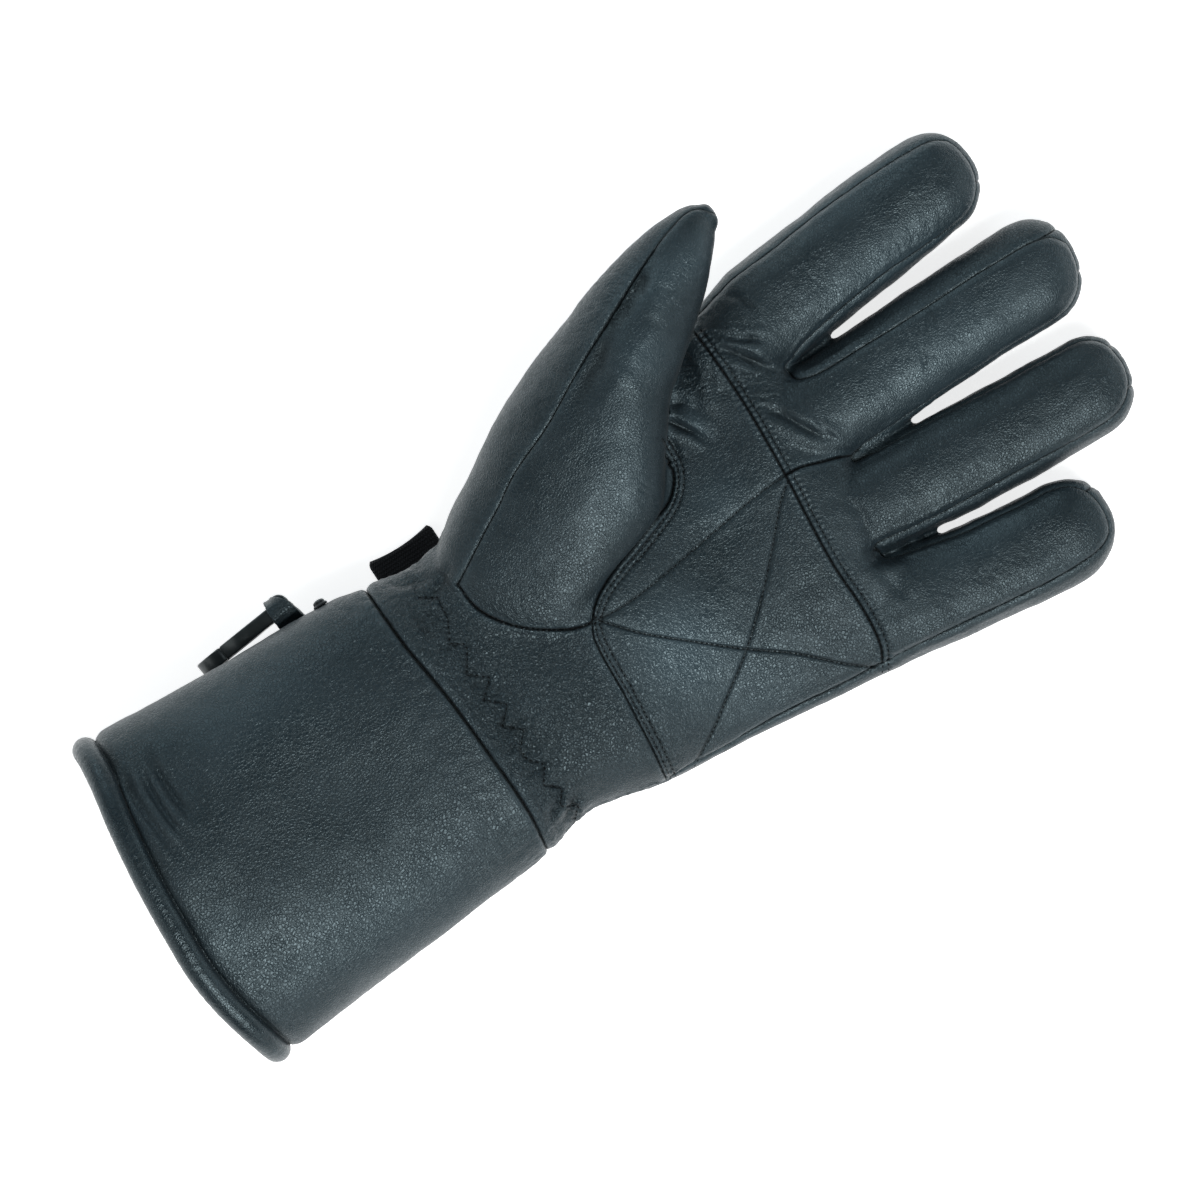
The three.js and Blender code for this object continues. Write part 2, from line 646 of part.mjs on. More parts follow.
// The scene graph
const glove = new THREE.Group();
const assembly = new THREE.Group();
assembly.position.copy(CENTRE_SHIFT);
glove.add(assembly);

// A piece of the glove, without the specks that a cut may leave beside it.
function addPiece(name, solid, finish) {
  const body = solid.decompose().sort((a, b) => b.volume() - a.volume())[0];
  const { numProp, numVert, vertProperties, triVerts } = body.getMesh();
  const positions = new Float32Array(numVert * 3);
  for (let i = 0; i < numVert; i++) {
    positions.set(vertProperties.subarray(i * numProp, i * numProp + 3), i * 3);
  }
  const geometry = new THREE.BufferGeometry();
  geometry.setAttribute('position', new THREE.BufferAttribute(positions, 3));
  geometry.setIndex(new THREE.BufferAttribute(triVerts, 1));
  const mesh = new THREE.Mesh(geometry, new THREE.MeshStandardMaterial(finish));
  mesh.name = name;
  assembly.add(mesh);
  return mesh;
}

addPiece('wrist_thumb_panel', wristThumbPanel(), LEATHER);
addPiece('palm_patch', palmFront.intersect(beyond(HEEL_SEAM, -HALF_GAP)), LEATHER);
addPiece('index_middle_front', fingerFronts.subtract(rightOf(SPLIT_SEAM, HALF_GAP)), LEATHER);
addPiece('ring_little_front', fingerFronts.intersect(rightOf(SPLIT_SEAM, -HALF_GAP)), LEATHER);
addPiece('thumb_front', thumb.intersect(thumbFrontRegion(-HALF_GAP)), LEATHER);
addPiece('hand_back', backSide.subtract(gussetSpace), LEATHER);
for (const [name, solid] of gussets) addPiece(name, solid, LEATHER);
addPiece('cuff', cuffPanel(), LEATHER);
addPiece('cuff_piping', pipingRing(), RIM_LEATHER);
addPiece('wrist_strap', strapBand(), WEBBING);
addPiece('clip_loop', clipLoop(), LEATHER);

const clip = addPiece('clip', clipBody(), PLASTIC);
clip.rotation.set(Math.PI / 2, 0, CLIP_TURN, 'ZXY');
clip.position.copy(CLIP_EYE_END);
clip.translateZ(-CLIP_THICKNESS / 2);

const stud = addPiece('cuff_stud', studHead(), LACQUERED_METAL);
stud.rotation.z = Math.PI / 2;
stud.position.set(columnAt(CUFF, 'left', STUD.y) - GAP, STUD.y, STUD.z);

export default glove;
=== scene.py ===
# %% [markdown]
# A black leather gauntlet glove
#
# This lesson dresses the imported model of a left-hand leather gauntlet glove that lies on its back
# with the palm up. The imported solids keep the sizes. Here each of them gets the skin that a camera
# would see: soft leather panels with turned seams, rows of stitches, folds, grain and a rolled rim.
#
# We first load the imported glove and keep its parts, so that each finished piece can hide the ones it stands
# for.

import math

import bpy
import numpy as np
from mathutils import Matrix, Vector
from mathutils.bvhtree import BVHTree
from mathutils.kdtree import KDTree


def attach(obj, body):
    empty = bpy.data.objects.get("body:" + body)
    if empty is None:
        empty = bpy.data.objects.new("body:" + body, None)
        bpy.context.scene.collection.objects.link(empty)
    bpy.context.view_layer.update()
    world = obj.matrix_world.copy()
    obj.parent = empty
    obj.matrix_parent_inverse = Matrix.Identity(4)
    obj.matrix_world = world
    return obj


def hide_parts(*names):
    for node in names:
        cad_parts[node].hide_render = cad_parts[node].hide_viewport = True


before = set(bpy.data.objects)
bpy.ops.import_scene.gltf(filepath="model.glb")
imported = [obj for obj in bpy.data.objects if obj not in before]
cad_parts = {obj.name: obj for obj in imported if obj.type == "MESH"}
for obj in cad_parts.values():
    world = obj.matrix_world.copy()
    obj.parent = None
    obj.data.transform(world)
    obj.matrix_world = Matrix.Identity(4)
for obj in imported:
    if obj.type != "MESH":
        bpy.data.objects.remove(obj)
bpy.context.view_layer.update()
print("CAD nodes:", sorted(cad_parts))

# %% [markdown]
# The measures
#
# All the tables are in millimetres in the pattern's own frame: fingers along +Y, thumb towards -X,
# and Z = 0 on the table top. They are nearly the sections from which the solids were made. Only the
# foot of the thumb's ball lies a little further out, where its seam runs. The frame of the model has
# its origin in the middle of the glove's outline, and it is in metres, so every finished piece is
# moved by SHIFT and divided by a thousand.

# %% The measures of hand, thumb and cuff
MM = 0.001
SHIFT = np.array([5.45, -5.3, 0.0])
WALL = 2.2  # leather with its thin padding
ROUNDNESS = 2.35  # exponent of the rounded sections: 2 is an ellipse
NOSE_ROUNDNESS = 2.2  # the same for the outline of a fingertip

# Rows of a limb: place along Y, its sides in X, its underside and top in Z
PALM = [
    (-62, -41.5, 55.5, 2.4, 44.5), (-53, -41, 54.6, 3, 44), (-47, -39.6, 53, 3.9, 42.6),
    (-42, -39.2, 51.6, 4.4, 41), (-36, -39.8, 51.3, 4, 41), (-27, -41, 52.8, 2.6, 41),
    (-12, -44, 56.6, 0.4, 39.5), (5, -46.5, 58.2, -0.4, 37.5), (25, -48.5, 60.5, -0.8, 35),
    (45, -50, 63.2, -0.8, 33), (73, -57.5, 66.8, -0.6, 30), (82, -59.6, 67.6, -0.2, 26.8),
    (89, -58.5, 66.6, 0.6, 19), (95, -55, 63, 1.6, 7),
]
# Each digit: its rows, where its round nose ends, and how far sideways the nose leans
DIGITS = {
    "index": ([(62, -54, -24, 3, 28.5), (82, -60.8, -27.3, 0.6, 29), (94, -62.4, -28.7, 0, 28),
               (108, -63.6, -30.1, -0.5, 27.2), (134, -65.7, -32.8, -0.4, 25.8), (150, -66, -35, 0.4, 25)],
              165.6, -0.5),
    "middle": ([(62, -27, 3, 3, 28.5), (82, -27, 5.2, 0.6, 29.4), (94, -26.7, 5.1, 0, 28.5),
                (110, -27.5, 4.8, -0.5, 27.6), (138, -28, 4.2, -0.4, 26.4), (161, -27.9, 4.7, 0.4, 25.4)],
               176.7, -1.3),
    "ring": ([(62, 4, 33, 3, 28), (82, 5.8, 34.8, 0.6, 28.8), (94, 6.5, 36.3, 0, 28),
              (108, 7.2, 38.3, -0.5, 27), (134, 9.4, 40.6, -0.4, 25.7), (157, 11.2, 41.3, 0.4, 24.6)],
             171.3, -1.8),
    "little": ([(62, 31, 64, 3, 27), (78, 34.9, 67.8, 0.6, 27.4), (92, 37.9, 70.1, 0, 26),
                (102, 40.1, 71.6, -0.5, 25.3), (118, 42.2, 74.0, -0.1, 24.2), (126, 43.2, 74.4, 0.6, 23.8)],
               143.6, -1.2),
    "thumb": ([(-35, -37, -13, 14, 38), (-26, -44.6, 2, 8, 42.5), (-12, -53, 8.6, 6, 45),
               (3, -62, 2, 6, 47), (18, -68.8, -5, 7, 49), (30, -73.3, -12, 9.5, 50),
               (41, -77.1, -27, 14, 50.5), (51, -80.2, -39.3, 19, 50), (62, -83.1, -48.2, 22.5, 48.5),
               (72, -84.7, -56.2, 24.5, 46.5), (78, -85, -61.5, 25.6, 45.2),
               (82, -84.9, -65.3, 26.8, 43.8), (86, -84.2, -70, 28.8, 41.8), (89, -82.6, -74, 31.4, 39.4)],
              91.7, -0.3),
}
CUFF = [
    (-168, -50.6, 64.6, 1.5, 55.2), (-152, -48.9, 62.9, 1.1, 54.4), (-140, -47.8, 61.8, 0.2, 53.4),
    (-122, -46.4, 60.4, -0.8, 51.8), (-104, -45.4, 59, -0.6, 50), (-84, -44.9, 57.4, 0, 48),
    (-68, -43.8, 56.2, 0.8, 46.5), (-58, -41.8, 55.4, 2, 45.2), (-46, -40.6, 54, 3.2, 44),
]

# %% [markdown]
# The camera, the light and the table top
#
# The photograph looks straight down on the glove from far away, so a long lens high above gives the
# same flat view. The glove lies turned in the picture: its fingers point to the upper right. The
# light is soft and comes from all round, as in a white tent, with its brightest side at the little
# finger. That bright side is what puts the broad sheen along the fingers and on the cuff.

# %% Camera, lights and table top
VIEW_WIDTH = 0.360  # what the photograph is across, at the height of the glove's edge
VIEW_HEIGHT = 2.6  # of the camera over the table top
EDGE_HEIGHT = 0.016
RIGHT_IN_VIEW = Vector((0.5446, 0.8387, 0))  # these run to the right and up in the picture
UP_IN_VIEW = Vector((-0.8387, 0.5446, 0))
SENSOR = 36.0  # mm

view = bpy.data.cameras.new("camera")
camera = bpy.data.objects.new("camera", view)
bpy.context.scene.collection.objects.link(camera)
view.sensor_width = SENSOR
view.lens = SENSOR * (VIEW_HEIGHT - EDGE_HEIGHT) / VIEW_WIDTH
view.clip_end = 20
turn = Matrix((RIGHT_IN_VIEW, UP_IN_VIEW, Vector((0, 0, 1)))).transposed()
camera.matrix_world = Matrix.LocRotScale(Vector((*(SHIFT[:2] * MM), VIEW_HEIGHT)), turn, None)
bpy.context.scene.camera = camera


def soft_light(name, place, size, power, colour=(1, 1, 1), aim=(0, 0, 0)):
    """A square light panel that faces its aim."""
    data = bpy.data.lights.new(name, "AREA")
    data.size, data.energy, data.color = size, power, colour
    light = bpy.data.objects.new(name, data)
    toward = Vector(aim) - Vector(place)
    light.matrix_world = Matrix.LocRotScale(Vector(place), toward.to_track_quat("-Z", "Y"), None)
    bpy.context.scene.collection.objects.link(light)


soft_light("light_main", (0.95, -0.05, 1.65), 1.0, 28.5)
soft_light("light_little_finger_side", (1.9, -0.1, 1.0), 1.6, 3.2)
soft_light("light_finger_end", (0.3, 2.0, 1.0), 1.6, 10, (0.9, 0.97, 1))
soft_light("light_cuff_end", (-0.3, -2.0, 1.0), 1.6, 10)
soft_light("light_thumb_side", (-1.9, 0.2, 1.0), 1.6, 12, (0.84, 0.95, 1))

world = bpy.data.worlds.new("white_tent")
world.use_nodes = True
sky = world.node_tree.nodes["Background"].inputs
sky["Color"].default_value, sky["Strength"].default_value = (1, 1, 1, 1), 0.09
bpy.context.scene.world = world
bpy.context.scene.view_settings.view_transform = "Standard"

FLOOR_REACH = 3.0
floor_mesh = bpy.data.meshes.new("table_top")
corners = [(x * FLOOR_REACH, y * FLOOR_REACH, 0) for x, y in ((-1, -1), (1, -1), (1, 1), (-1, 1))]
floor_mesh.from_pydata(corners, [], [(0, 1, 2, 3)])
table_top = bpy.data.objects.new("table_top", floor_mesh)
bpy.context.scene.collection.objects.link(table_top)
paper = bpy.data.materials.new("white_paper")
paper.use_nodes = True
for name, setting in {"Base Color": (0.93, 0.93, 0.93, 1), "Roughness": 0.9,
                      "Emission Color": (1, 1, 1, 1), "Emission Strength": 0.75}.items():
    paper.node_tree.nodes["Principled BSDF"].inputs[name].default_value = setting
floor_mesh.materials.append(paper)
print("camera lens:", round(view.lens, 1), "mm")

# %% [markdown]
# Sections and limbs
#
# A finger is a loft: rounded sections, one behind the other, that close in a round nose. Each table
# row is one section, and a smooth curve through the rows gives the sections between them. We make
# every limb as its own closed form, and let them run into each other.


# %% Lofted limbs
def curve_through(stations, values, at):
    """Values at the places `at` on a smooth curve through (stations, values)."""
    s, v = np.asarray(stations, float), np.asarray(values, float)
    before, after = np.maximum(np.arange(len(s)) - 1, 0), np.minimum(np.arange(len(s)) + 1, len(s) - 1)
    slope = (v[after] - v[before]) / (s[after] - s[before])
    i = np.clip(np.searchsorted(s, at, side="right") - 1, 0, len(s) - 2)
    span = s[i + 1] - s[i]
    t = (at - s[i]) / span
    start = v[i] * (1 + 2 * t) * (1 - t) ** 2 + slope[i] * span * t * (1 - t) ** 2
    return start + v[i + 1] * (3 - 2 * t) * t**2 - slope[i + 1] * span * (1 - t) * t**2


def section(rows, y):
    """Left, right, underside and top of a limb at the places y."""
    table = np.array(rows, float)
    return [curve_through(table[:, 0], table[:, k], y) for k in range(1, 5)]


def round_ring(angle):
    """The rounded section of half-width and half-height 1."""
    cos, sin = np.cos(angle), np.sin(angle)
    power = 2 / ROUNDNESS
    return np.sign(cos) * np.abs(cos) ** power, np.sign(sin) * np.abs(sin) ** power


def tube_faces(count, sides, endless=False):
    """Faces between rings of points, one ring after the other. An endless tube closes on its start."""
    i, k = np.meshgrid(np.arange(count if endless else count - 1), np.arange(sides), indexing="ij")
    ring, next_ring, onward = i * sides, (i + 1) % count * sides, (k + 1) % sides
    faces = np.stack([ring + k, next_ring + k, next_ring + onward, ring + onward], -1)
    return faces.reshape(-1, 4).tolist()


def loft(rings, closed_ends=True):
    """Joins rings of equal length into faces. Rings are arrays of points of shape (rings, sides, 3)."""
    count, sides = rings.shape[:2]
    faces = tube_faces(count, sides)
    points = rings.reshape(-1, 3)
    if closed_ends:
        middles = np.array([rings[0].mean(0), rings[-1].mean(0)])
        first, last = len(points), len(points) + 1
        top = (count - 1) * sides
        faces += [(first, k, (k + 1) % sides) for k in range(sides)]
        faces += [(last, top + (k + 1) % sides, top + k) for k in range(sides)]
        points = np.vstack([points, middles])
    return points, faces


def limb(rows, tip=None, lean=0, sides=96, pace=2.0):
    """A closed loft through the rows, with a round nose when tip is given."""
    start, end = rows[0][0], rows[-1][0]
    y = np.linspace(start, end, int((end - start) / pace) + 2)
    left, right, low, high = section(rows, y)
    scale = np.ones_like(y)
    if tip is not None:
        step = np.sin(np.linspace(0, np.pi / 2, 15))[1:-1]
        nose = (1 - step**NOSE_ROUNDNESS) ** (1 / NOSE_ROUNDNESS)
        y, scale = np.append(y, end + (tip - end) * step), np.append(scale, nose)
        aside = lean * step**2
        left, right = np.append(left, left[-1] + aside), np.append(right, right[-1] + aside)
        low, high = (np.append(side, np.full(len(step), side[-1])) for side in (low, high))
    across, up = round_ring(np.linspace(0, 2 * np.pi, sides, endpoint=False))
    x = ((left + right) / 2)[:, None] + ((right - left) / 2 * scale)[:, None] * across
    z = ((low + high) / 2)[:, None] + ((high - low) / 2 * scale)[:, None] * up
    rings = np.stack([x, np.broadcast_to(y[:, None], x.shape), np.maximum(z, 0)], -1)
    return loft(rings)


# Round dips in the upper side of the palm and the cuff: where, how far they reach, and how deep.
# The first is a rise, where the leather comes down from the ball of the thumb.
PALM_DENTS = [(5, 8, 20, -2.6), (4, 34, 22, 2.4), (56, 20, 24, 3.2), (-22, 50, 13, 3.2), (-36, 76, 12, 1.6),
              (-6, 80, 9, 1.6), (-2, -22, 14, 2.4), (44, -26, 20, -2)]
CUFF_DENTS = [(-24, -140, 14, 2.8), (2, -96, 22, 1.8), (26, -152, 14, 1.6), (-30, -76, 15, 1.4)]


def dented(points, rows, dents):
    """Presses the dips into the upper half of a limb's points."""
    low, high = section(rows, np.clip(points[:, 1], rows[0][0], rows[-1][0]))[2:]
    share = np.clip((points[:, 2] - (low + high) / 2) / ((high - low) / 2), 0, 1)
    for x, y, reach, depth in dents:
        away = np.hypot(points[:, 0] - x, points[:, 1] - y) / reach
        points[:, 2] -= depth * share * np.exp(-(away**2))
    return points


# The palm ends in a deep fork between two fingers: where, how wide and long, and how deep
FORKS = [(-26.3, 94, 4, 9, 16), (5.4, 96, 4, 9, 16), (33.6, 90, 5, 13, 18)]
FORK_FLOOR = 3.3  # its bottom stays this high, or the leather there would be too thin to join


def forked(form):
    points, faces = form
    points = dented(points, PALM, PALM_DENTS)
    for x, y, wide, long, depth in FORKS:
        away = ((points[:, 0] - x) / wide) ** 2 + (np.minimum(points[:, 1] - y, 0) / long) ** 2
        pressed = np.maximum(points[:, 2] - depth * np.exp(-(away**2)), FORK_FLOOR)
        points[:, 2] = np.where(points[:, 2] > FORK_FLOOR, pressed, points[:, 2])
    points[:, 2] = np.maximum(points[:, 2], 0)
    return points, faces


limbs = [forked(limb(PALM, sides=240, pace=1.5))] + [limb(*digit) for digit in DIGITS.values()]
print("limbs:", len(limbs), "with", sum(len(points) for points, faces in limbs), "points")

# %% [markdown]
# One skin over all the limbs
#
# The palm, the fingers and the thumb have to become one skin without inner walls. A boolean union
# could do that, but it leaves hard creases where the limbs meet, and soft leather bridges such
# corners. A voxel remesh joins the forms just as well and gives even faces, and a little smoothing
# then rounds the corners. The gaps between the fingers end in slits that are hardly wider than a
# voxel, so we choose its size with care: at some sizes two fingers grow together across the gap.


# %% Join the limbs into one skin
def mesh_of(name, points, faces):
    mesh = bpy.data.meshes.new(name)
    faces = faces.tolist() if isinstance(faces, np.ndarray) else faces
    mesh.from_pydata(np.asarray(points).tolist(), [], faces)
    mesh.update()
    return mesh


def triangles_of(mesh):
    """A mesh's points and triangles as arrays."""
    points = np.empty(len(mesh.vertices) * 3)
    mesh.vertices.foreach_get("co", points)
    mesh.calc_loop_triangles()
    corners = np.empty(len(mesh.loop_triangles) * 3, np.int64)
    mesh.loop_triangles.foreach_get("vertices", corners)
    return points.reshape(-1, 3), corners.reshape(-1, 3)


def remeshed(forms, voxel):
    """One skin round several overlapping closed forms."""
    points, faces = [], []
    for form_points, form_faces in forms:
        base = sum(len(p) for p in points)
        points.append(form_points)
        faces += [[corner + base for corner in face] for face in form_faces]
    rough = bpy.data.objects.new("limbs", mesh_of("limbs", np.vstack(points), faces))
    bpy.context.scene.collection.objects.link(rough)
    remesh = rough.modifiers.new("one_skin", "REMESH")
    remesh.mode, remesh.voxel_size = "VOXEL", voxel
    done = bpy.data.meshes.new_from_object(rough.evaluated_get(bpy.context.evaluated_depsgraph_get()))
    result = triangles_of(done)
    bpy.data.objects.remove(rough)
    bpy.data.meshes.remove(done)
    return result


def edges_of(triangles):
    """Every edge once, lower point first."""
    pairs = np.sort(np.vstack([triangles[:, [0, 1]], triangles[:, [1, 2]], triangles[:, [2, 0]]]), axis=1)
    return np.unique(pairs, axis=0)


def both_ways(edges):
    """Each edge as two pulls: each of its ends pulls on the other."""
    return np.vstack([edges, edges[:, ::-1]])


def relaxed(points, pulls, rounds, strength=0.5, rebound=-0.53):
    """Evens out a skin without shrinking it: each round pulls it tight and lets it spring back."""
    points, count = points.copy(), len(points)
    neighbours = np.maximum(np.bincount(pulls[:, 0], minlength=count), 1)
    pulled = np.bincount(pulls[:, 0], minlength=count) > 0
    for _ in range(rounds):
        for pull in (strength, rebound):
            for axis in range(points.shape[1]):
                total = np.bincount(pulls[:, 0], weights=points[pulls[:, 1], axis], minlength=count)
                points[:, axis] += pulled * pull * (total / neighbours - points[:, axis])
    return points


VOXEL = 1.06  # at this size the narrow gaps between the fingers stay open
skin, skin_triangles = remeshed(limbs, VOXEL)
skin = relaxed(skin, both_ways(edges_of(skin_triangles)), 8)
print("skin:", len(skin), "points,", len(skin_triangles), "triangles")

# %% [markdown]
# Cutting the skin into panels
#
# A real glove is sewn from flat cuts of leather, and its seams show where one cut ends and the next
# begins. We draw each seam as a line of points on the pattern. Where a seam crosses a triangle of
# the skin, the triangle is cut along it, so every panel ends exactly on its line. Painting whole
# triangles with a panel's name would be quicker, but it leaves saw-toothed edges.

# %% Seam lines, as points in the pattern
FAR = 300.0
CUFF_SEAM = [(-46, -57.2), (-41, -57), (-30, -56.5), (-20, -56), (-12, -55), (0, -53.6), (10, -53),
             (20, -52.5), (35, -52), (45, -52.3), (54.5, -53.7), (60, -54.4)]
HEEL_SEAM = [(-20, -5), (3, -5.2), (8, -7.5), (15, -8.5), (25, -9), (36, -10), (46, -11), (56, -12.5),
             (66, -14)]
FINGER_SEAM = [(-66, 66.8), (-51, 67.2), (-45, 67.6), (-30, 68.1), (-15, 67.6), (0, 66.6), (15, 65.1),
               (30, 64.1), (42, 64.4), (50, 64.1), (58, 62.6), (64, 59.2), (72, 55)]
SPLIT_SEAM = [(-1.5, 60), (-1, 68), (-0.6, 72), (1, 77), (3, 83), (5, 87)]
THUMB_SEAM = [(-27, -33), (-31, -26), (-35, -19), (-40, -10), (-46, 0), (-52, 15), (-60, 30), (-66, 42),
              (-72, 55), (-77, 66), (-81, 77), (-82.6, 84), (-81.6, 88), (-79, 90.3)]
THUMB_BASE = [(-27, -33), (-20, -32.7), (-15, -31), (-10, -28), (-5, -23.4), (-1.8, -19.4), (0.8, -15.3),
              (2.9, -11.2), (4.1, -6), (1, -2.6), (-2, 2), (-5, 10), (-7, 17), (-10, 26), (-13, 33),
              (-17, 37.5), (-22, 40), (-30, 40.5)]
# The edge of the palm side, up one side of each finger and down the other
LITTLE_SIDE = [(60, -70), (58.5, -40), (57.6, -20), (56.4, -12.5), (56, -8), (57, 3), (58, 15), (59.5, 28),
               (60.5, 40), (61.5, 50), (62, 60), (63.5, 75), (65.5, 90), (67.5, 105), (69, 120), (69.2, 130),
               (68, 136), (65, 140), (60, 142.2), (55, 142.6), (51, 141.4), (47, 136), (43.7, 130),
               (42.6, 124)]
LITTLE_RING_FORK = [(41, 115), (38.5, 105), (36, 95), (34.5, 82), (33, 76.6), (32, 76.6), (31, 79), (33, 90),
                    (34.5, 105), (35.5, 120), (37, 140), (38, 155), (36.5, 163), (32, 168), (26, 170.2)]
RING_SIDE = [(19, 169.8), (14.5, 167.4), (12.8, 162), (12, 155), (11, 140), (9.5, 120), (8, 106), (6.6, 94),
             (5.3, 87.4)]
MIDDLE_SIDE = [(5.6, 94), (5.9, 105), (6.3, 120), (7.6, 150), (7, 182), (-10, 182)]
INDEX_MIDDLE_FORK = [(-13.6, 175.6), (-17.6, 172.6), (-19.6, 166), (-20.2, 155), (-20.5, 145), (-20.5, 125),
                     (-21, 105), (-21.5, 92), (-23, 86), (-25, 84.6), (-28, 86), (-30, 90), (-32, 98),
                     (-34, 110), (-35.5, 125), (-36, 140), (-37, 156), (-40.5, 161.4), (-46, 164),
                     (-53, 164.6)]
INDEX_SIDE = [(-58.6, 163), (-61.2, 158.6), (-62.4, 150), (-62.5, 135), (-61.5, 115), (-60, 100), (-59, 85),
              (-57.5, 78), (-56, 70), (-58, 62), (-62, 56), (-66, 40)]
# Heights of the side seams at places along the hand
SIDE_SEAM = [(-60, 23), (20, 22.6), (60, 22), (90, 20), (125, 19), (175, 18)]
THUMB_SIDE_SEAM = [(-60, 23), (-10, 23), (20, 26), (50, 32), (78, 35.5), (95, 36)]
GUSSET_BOTTOM, GUSSET_INSET, GUSSET_START = 4.6, 0.45, 79


def smooth_line(table, step=1.5):
    """Points every step along a smooth curve through the table's points."""
    table = np.array(table, float)
    along = np.concatenate([[0], np.cumsum(np.hypot(*np.diff(table, axis=0).T))])
    at = np.linspace(0, along[-1], int(along[-1] / step) + 2)
    return np.stack([curve_through(along, table[:, k], at) for k in range(table.shape[1])], -1)


def line_reach(points, line, closed=False):
    """For each point: distance to a line in X and Y, on which side it is, and how far along it."""
    ends = np.roll(line, -1, axis=0) if closed else line[1:]
    starts = line if closed else line[:-1]
    best = np.full(len(points), np.inf)
    side, along, walked = np.zeros(len(points)), np.zeros(len(points)), 0.0
    for start, end in zip(starts, ends):
        run = end - start
        length = math.hypot(*run)
        if length == 0:
            continue
        offset = points[:, :2] - start
        t = np.clip((offset @ run) / length**2, 0, 1)
        away = np.hypot(offset[:, 0] - t * run[0], offset[:, 1] - t * run[1])
        nearer = away < best
        best[nearer] = away[nearer]
        side[nearer] = (run[0] * offset[:, 1] - run[1] * offset[:, 0])[nearer]
        along[nearer] = walked + t[nearer] * length
        walked += length
    return best, np.sign(side), along / max(walked, 1e-9)


def inside_reach(points, outline):
    """Distance to a closed outline in X and Y: above zero inside it."""
    away = line_reach(points, outline, closed=True)[0]
    x, y = points[:, 0], points[:, 1]
    within = np.zeros(len(points), bool)
    for (x0, y0), (x1, y1) in zip(outline, np.roll(outline, -1, axis=0)):
        if y0 != y1:
            crosses = (y0 > y) != (y1 > y)
            within ^= crosses & (x < (x1 - x0) * (y - y0) / (y1 - y0) + x0)
    return np.where(within, away, -away)


def height_over(points, seam):
    """Height over a side seam."""
    seam = np.array(seam, float)
    return points[:, 2] - np.interp(points[:, 1], seam[:, 0], seam[:, 1])


def beyond(seam):
    """The outline of everything on the finger side of a seam across the hand."""
    line = smooth_line(seam)
    return np.vstack([line, [(FAR, line[-1, 1]), (FAR, FAR), (-FAR, FAR), (-FAR, line[0, 1])]])


def limb_reach(points, rows, tip=None, lean=0):
    """Rough distance to a limb's surface: above zero inside it."""
    start, end = rows[0][0], rows[-1][0]
    y = np.clip(points[:, 1], start, end)
    left, right, low, high = section(rows, y)
    scale, aside = np.ones(len(points)), np.zeros(len(points))
    if tip is not None:
        step = np.clip((points[:, 1] - end) / (tip - end), 0, 0.999)
        scale, aside = (1 - step**NOSE_ROUNDNESS) ** (1 / NOSE_ROUNDNESS), lean * step**2
    across = np.abs(points[:, 0] - (left + right) / 2 - aside) / ((right - left) / 2 * scale)
    up = np.abs(points[:, 2] - (low + high) / 2) / ((high - low) / 2 * scale)
    radius = (across**ROUNDNESS + up**ROUNDNESS) ** (1 / ROUNDNESS)
    past = np.maximum(np.maximum(start - points[:, 1], points[:, 1] - (tip or end)), 0)
    return (1 - radius) * np.minimum(right - left, high - low) / 2 * scale - past


# %% [markdown]
# How a cut works
#
# `level` gives a number for every point: above zero on one side of the seam, below zero on the
# other. An edge whose two ends differ in sign is crossed by the seam, and gets a new point there.
# `divided` then cuts each triangle round its new points. The same function later makes the palm
# side finer, with a new point in the middle of every edge.


# %% Cut triangles along a line
def divided(triangles, marked, first_new):
    """Cuts the triangles that have marked edges; gives the new triangles and each one's parent."""
    scale = max(int(triangles.max()), int(marked.max())) + 1
    keys = marked[:, 0] * scale + marked[:, 1]
    order = np.argsort(keys)
    sides = np.sort(triangles[:, [[0, 1], [1, 2], [2, 0]]], axis=2)
    wanted = sides[..., 0] * scale + sides[..., 1]
    spot = np.minimum(np.searchsorted(keys[order], wanted), len(keys) - 1)
    new = np.where(keys[order][spot] == wanted, order[spot] + first_new, -1)
    count = (new >= 0).sum(1)
    parts, parents = [triangles[count == 0]], [np.flatnonzero(count == 0)]

    def turned(rows, first):
        """The rows' corners and new points, turned so that side `first` of each comes first."""
        turns = (first[:, None] + np.arange(3)) % 3
        return np.take_along_axis(triangles[rows], turns, 1), np.take_along_axis(new[rows], turns, 1)

    def add(rows, *shapes):
        for shape in shapes:
            parts.append(np.stack(shape, 1))
            parents.append(rows)

    rows = np.flatnonzero(count == 1)
    (a, b, c), (ab, _, _) = (item.T for item in turned(rows, np.argmax(new[rows] >= 0, axis=1)))
    add(rows, (a, ab, c), (ab, b, c))
    rows = np.flatnonzero(count == 2)
    (a, b, c), (ab, bc, _) = (item.T for item in turned(rows, (np.argmax(new[rows] < 0, axis=1) + 1) % 3))
    add(rows, (ab, b, bc), (a, ab, bc), (a, bc, c))
    rows = np.flatnonzero(count == 3)
    (a, b, c), (ab, bc, ca) = triangles[rows].T, new[rows].T
    add(rows, (a, ab, ca), (ab, b, bc), (ca, bc, c), (ab, bc, ca))
    return np.vstack(parts), np.concatenate(parents)


SNAP = 0.2  # a crossing nearer to an edge's end than this share of it moves the end instead


